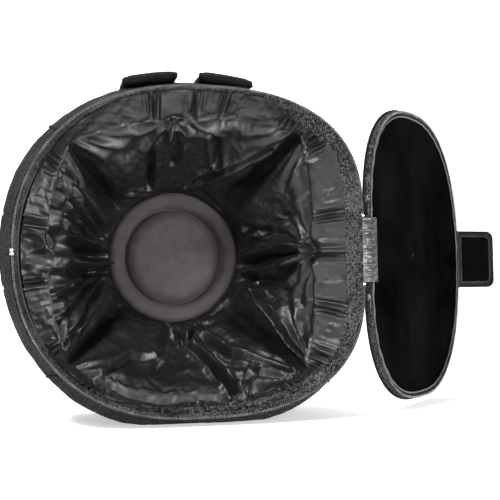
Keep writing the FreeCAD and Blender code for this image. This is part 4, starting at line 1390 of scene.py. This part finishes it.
def make_closure_tab():
    """The tab: a cloth leaf with a bound edge, stitch lines, and a hook pad on its inner face."""
    fold = np.array(JOINTS["tab_fold"]["pos_m"])
    lean = OPEN_ANGLE + math.radians(-44.0)
    c, s = math.cos(lean), math.sin(lean)

    def place(points):
        points = np.asarray(points)
        x, y, z = points[..., 0], points[..., 1], points[..., 2]
        return np.stack([fold[0] + x * c - y * s, fold[1] + x * s + y * c, fold[2] + z], axis=-1)

    length, half = 88 * MM, 59 * MM
    corner = 14 * MM

    def outline(inset, count=200):
        pts = []
        r = corner - inset * 0.4
        x0, x1, zz = -1.0 * MM - (0 if inset == 0 else inset), -2.5 * MM - length + inset, half - inset
        pts.append((x0, -zz))
        for a in np.linspace(-math.pi / 2, 0, 12):
            pts.append((x1 + r - r * math.cos(a), -zz + r + r * math.sin(a)))
        for a in np.linspace(0, math.pi / 2, 12):
            pts.append((x1 + r - r * math.cos(a), zz - r + r * math.sin(a)))
        pts.append((x0, zz))
        pts = np.array([[p[0], 0, p[1]] for p in pts])
        pts = np.concatenate([pts, pts[:1]])
        return evenly(pts, count + 1)[:-1]

    edge = outline(2.4 * MM)
    centre = np.array([-45 * MM, 0, 0])
    grid = np.stack([centre + (edge - centre) * t for t in np.linspace(1, 0.02, 14)])
    bow = smooth_noise(grid.reshape(-1, 3), 0.08, 181).reshape(grid.shape[:2]) * 0.5 * MM
    front = grid.copy()
    front[:, :, 1] = 1.0 * MM + bow
    flip = grid_normals(front, True)[4, 4, 1] < 0
    sew("tab_leaf_cloth", front, 2.2 * MM, "closure_tab", "outer_cloth", CLOTH, "closure_tab",
        flip=flip, wrap=True, lay=place)
    path = place(outline(1.6 * MM, 260))
    up = place(UP_Y) - fold
    ripple = 1 + 0.06 * np.sin(np.arange(260) * 0.9)
    obj = tube_object("tab_binding_edge", path, 3.0 * MM * ripple, 12, closed=True, squash=0.72, up=up)
    dress(obj, "closure_tab", "seam_piping", BINDING, "closure_tab_binding")
    pad_edge = outline(12 * MM)
    pad = np.stack([centre + (pad_edge - centre) * t for t in np.linspace(1, 0.02, 14)])
    pad[:, :, 1] = 2.2 * MM + smooth_noise(pad.reshape(-1, 3), 0.05, 182).reshape(pad.shape[:2]) * 0.25 * MM
    sew("tab_hook_pad", pad, 0.9 * MM, "closure_tab", "hook_pile", HOOKS, "closure_tab_hooks",
        flip=grid_normals(pad, True)[4, 4, 1] < 0, wrap=True, lay=place)
    seam = place(outline(9.5 * MM, 400) + np.array([0, 1.4 * MM, 0]))
    stitch_line("tab_stitches", seam, "closure_tab", "hook_pile", up)


def stitch_line(name, loop, body, slot, up, pitch=3.4 * MM):
    """A run of short stitches along a closed line."""
    steps = np.linalg.norm(np.diff(np.concatenate([loop, loop[:1]]), axis=0), axis=1)
    count = int(steps.sum() / pitch)
    line = evenly(np.concatenate([loop, loop[:1]]), count + 1)[:-1]
    tangent = np.roll(line, -1, axis=0) - np.roll(line, 1, axis=0)
    tangent = unit(tangent)
    side = np.cross(tangent, up)
    axes = np.stack([side, tangent, np.broadcast_to(up, tangent.shape)], axis=1)
    template, faces = tooth_template(2.4 * MM, 0.6 * MM, 0.7 * MM)
    obj = copies_object(name, template, faces, line, axes)
    return dress(obj, body, slot, THREAD)


def make_loop_patch():
    rows, columns = 30, 60
    low, high = box("loop_patch")
    depths = np.linspace(low[1], high[1], rows)
    lines = []
    for y in depths:
        station = wall_at(y)
        grown = (y, station[1] + 1.6 * MM, station[2], station[3])
        lower, upper = corner_line("bottom_left", 0.12, 0, grown), corner_line("top_left", 0, 0.12, grown)
        lines.append(evenly(np.concatenate([lower, upper]), columns))
    grid = np.stack(lines)
    normal = grid_normals(grid, False)
    flip = normal[:, :, 0].mean() > 0
    noise = smooth_noise(grid.reshape(-1, 3), 0.01, 190).reshape(rows, columns)
    grid = grid + np.where(flip, -1, 1) * normal * (noise * 0.15 * MM)[:, :, None]
    sew("loop_patch_pile", grid, 1.2 * MM, "bag", "loop_pile", LOOPS, "loop_patch", flip=flip)


# ---------------------------------------------------------------- camera, floor and light


def make_camera():
    yaw, pitch, roll = math.radians(-12.0), math.radians(2.78), math.radians(0.98)
    turn = Matrix.Rotation(yaw, 3, "Z") @ Matrix.Rotation(pitch, 3, "X") @ Matrix.Rotation(roll, 3, "Y")
    look = turn @ Matrix(((1, 0, 0), (0, 0, -1), (0, 1, 0)))
    data = bpy.data.cameras.new("camera")
    data.lens = 72.9
    data.sensor_width = 36.0
    data.clip_end = 30
    camera = bpy.data.objects.new("camera", data)
    camera.matrix_world = Matrix.Translation((-0.245, MOUTH_Y - 1.574, MID_Z - 0.078)) @ look.to_4x4()
    bpy.context.scene.collection.objects.link(camera)
    bpy.context.scene.camera = camera


def make_stage():
    """A pale floor that sweeps up behind into a backdrop."""
    profile = [(-6.0, 0.0), (-2.0, 0.0), (2.0, 0.0)]
    for a in np.linspace(0, math.pi / 2, 14):
        profile.append((2.6 + 1.4 * math.sin(a), 1.4 - 1.4 * math.cos(a)))
    profile.append((4.0, 7.0))
    verts, faces = [], []
    for y, z in profile:
        verts += [(-9.0, y, z - 0.0004), (9.0, y, z - 0.0004)]
    for i in range(len(profile) - 1):
        faces.append([2 * i, 2 * i + 1, 2 * i + 3, 2 * i + 2])
    obj = make_object("studio_floor", np.array(verts), faces)
    s = Shader("floor_paper", 0.9)
    tone = s.noise(1.5, 2.0)
    colour = s.ramp(tone, [(0.3, grey(0.86)), (0.7, grey(0.9))])
    s.put(s.shader.inputs["Emission Color"], colour)
    s.shader.inputs["Emission Strength"].default_value = 0.55
    obj.data.materials.append(s.finish(colour))


def add_light(name, place, target, size, power, tint=(1, 1, 1)):
    data = bpy.data.lights.new(name, "AREA")
    data.shape = "RECTANGLE"
    data.size, data.size_y = size
    data.energy = power
    data.color = tint
    light = bpy.data.objects.new(name, data)
    light.location = place
    light.rotation_euler = (Vector(target) - Vector(place)).to_track_quat("-Z", "Y").to_euler()
    bpy.context.scene.collection.objects.link(light)


def make_lights():
    world = bpy.data.worlds.new("studio")
    bpy.context.scene.world = world
    world.use_nodes = True
    world.node_tree.nodes["Background"].inputs[0].default_value = (1, 1, 1, 1)
    world.node_tree.nodes["Background"].inputs[1].default_value = 0.05
    bpy.context.scene.view_settings.view_transform = "Standard"
    add_light("key", (-1.15, -1.35, 1.75), (0.05, 0.0, 0.25), (0.4, 0.4), 62)
    add_light("low", (1.25, -1.7, 0.14), (0.0, 0.05, 0.3), (0.45, 0.22), 38)
    add_light("front", (-0.2, -2.6, 0.9), (0.1, 0.0, 0.27), (0.6, 0.6), 14)
    add_light("top", (0.1, -0.3, 2.4), (0.1, 0.0, 0.2), (0.8, 0.6), 24)
    add_light("back", (0.0, 2.0, 3.2), (0.0, 3.6, 1.0), (4.0, 1.5), 130)


make_camera()
make_walls()
make_seam_pipings()
make_back()
make_facing()
make_mouth_zip()
make_stops()
make_lining()
make_base_pad()
for strap_name, strap_sign in (("left", -1), ("right", 1)):
    make_strap(strap_name, strap_sign)
    make_strap_hardware(strap_name)
for slider_name in ("upper", "lower"):
    make_slider(slider_name)
make_lid()
make_hinge_web()
make_closure_tab()
make_loop_patch()
make_stage()
make_lights()
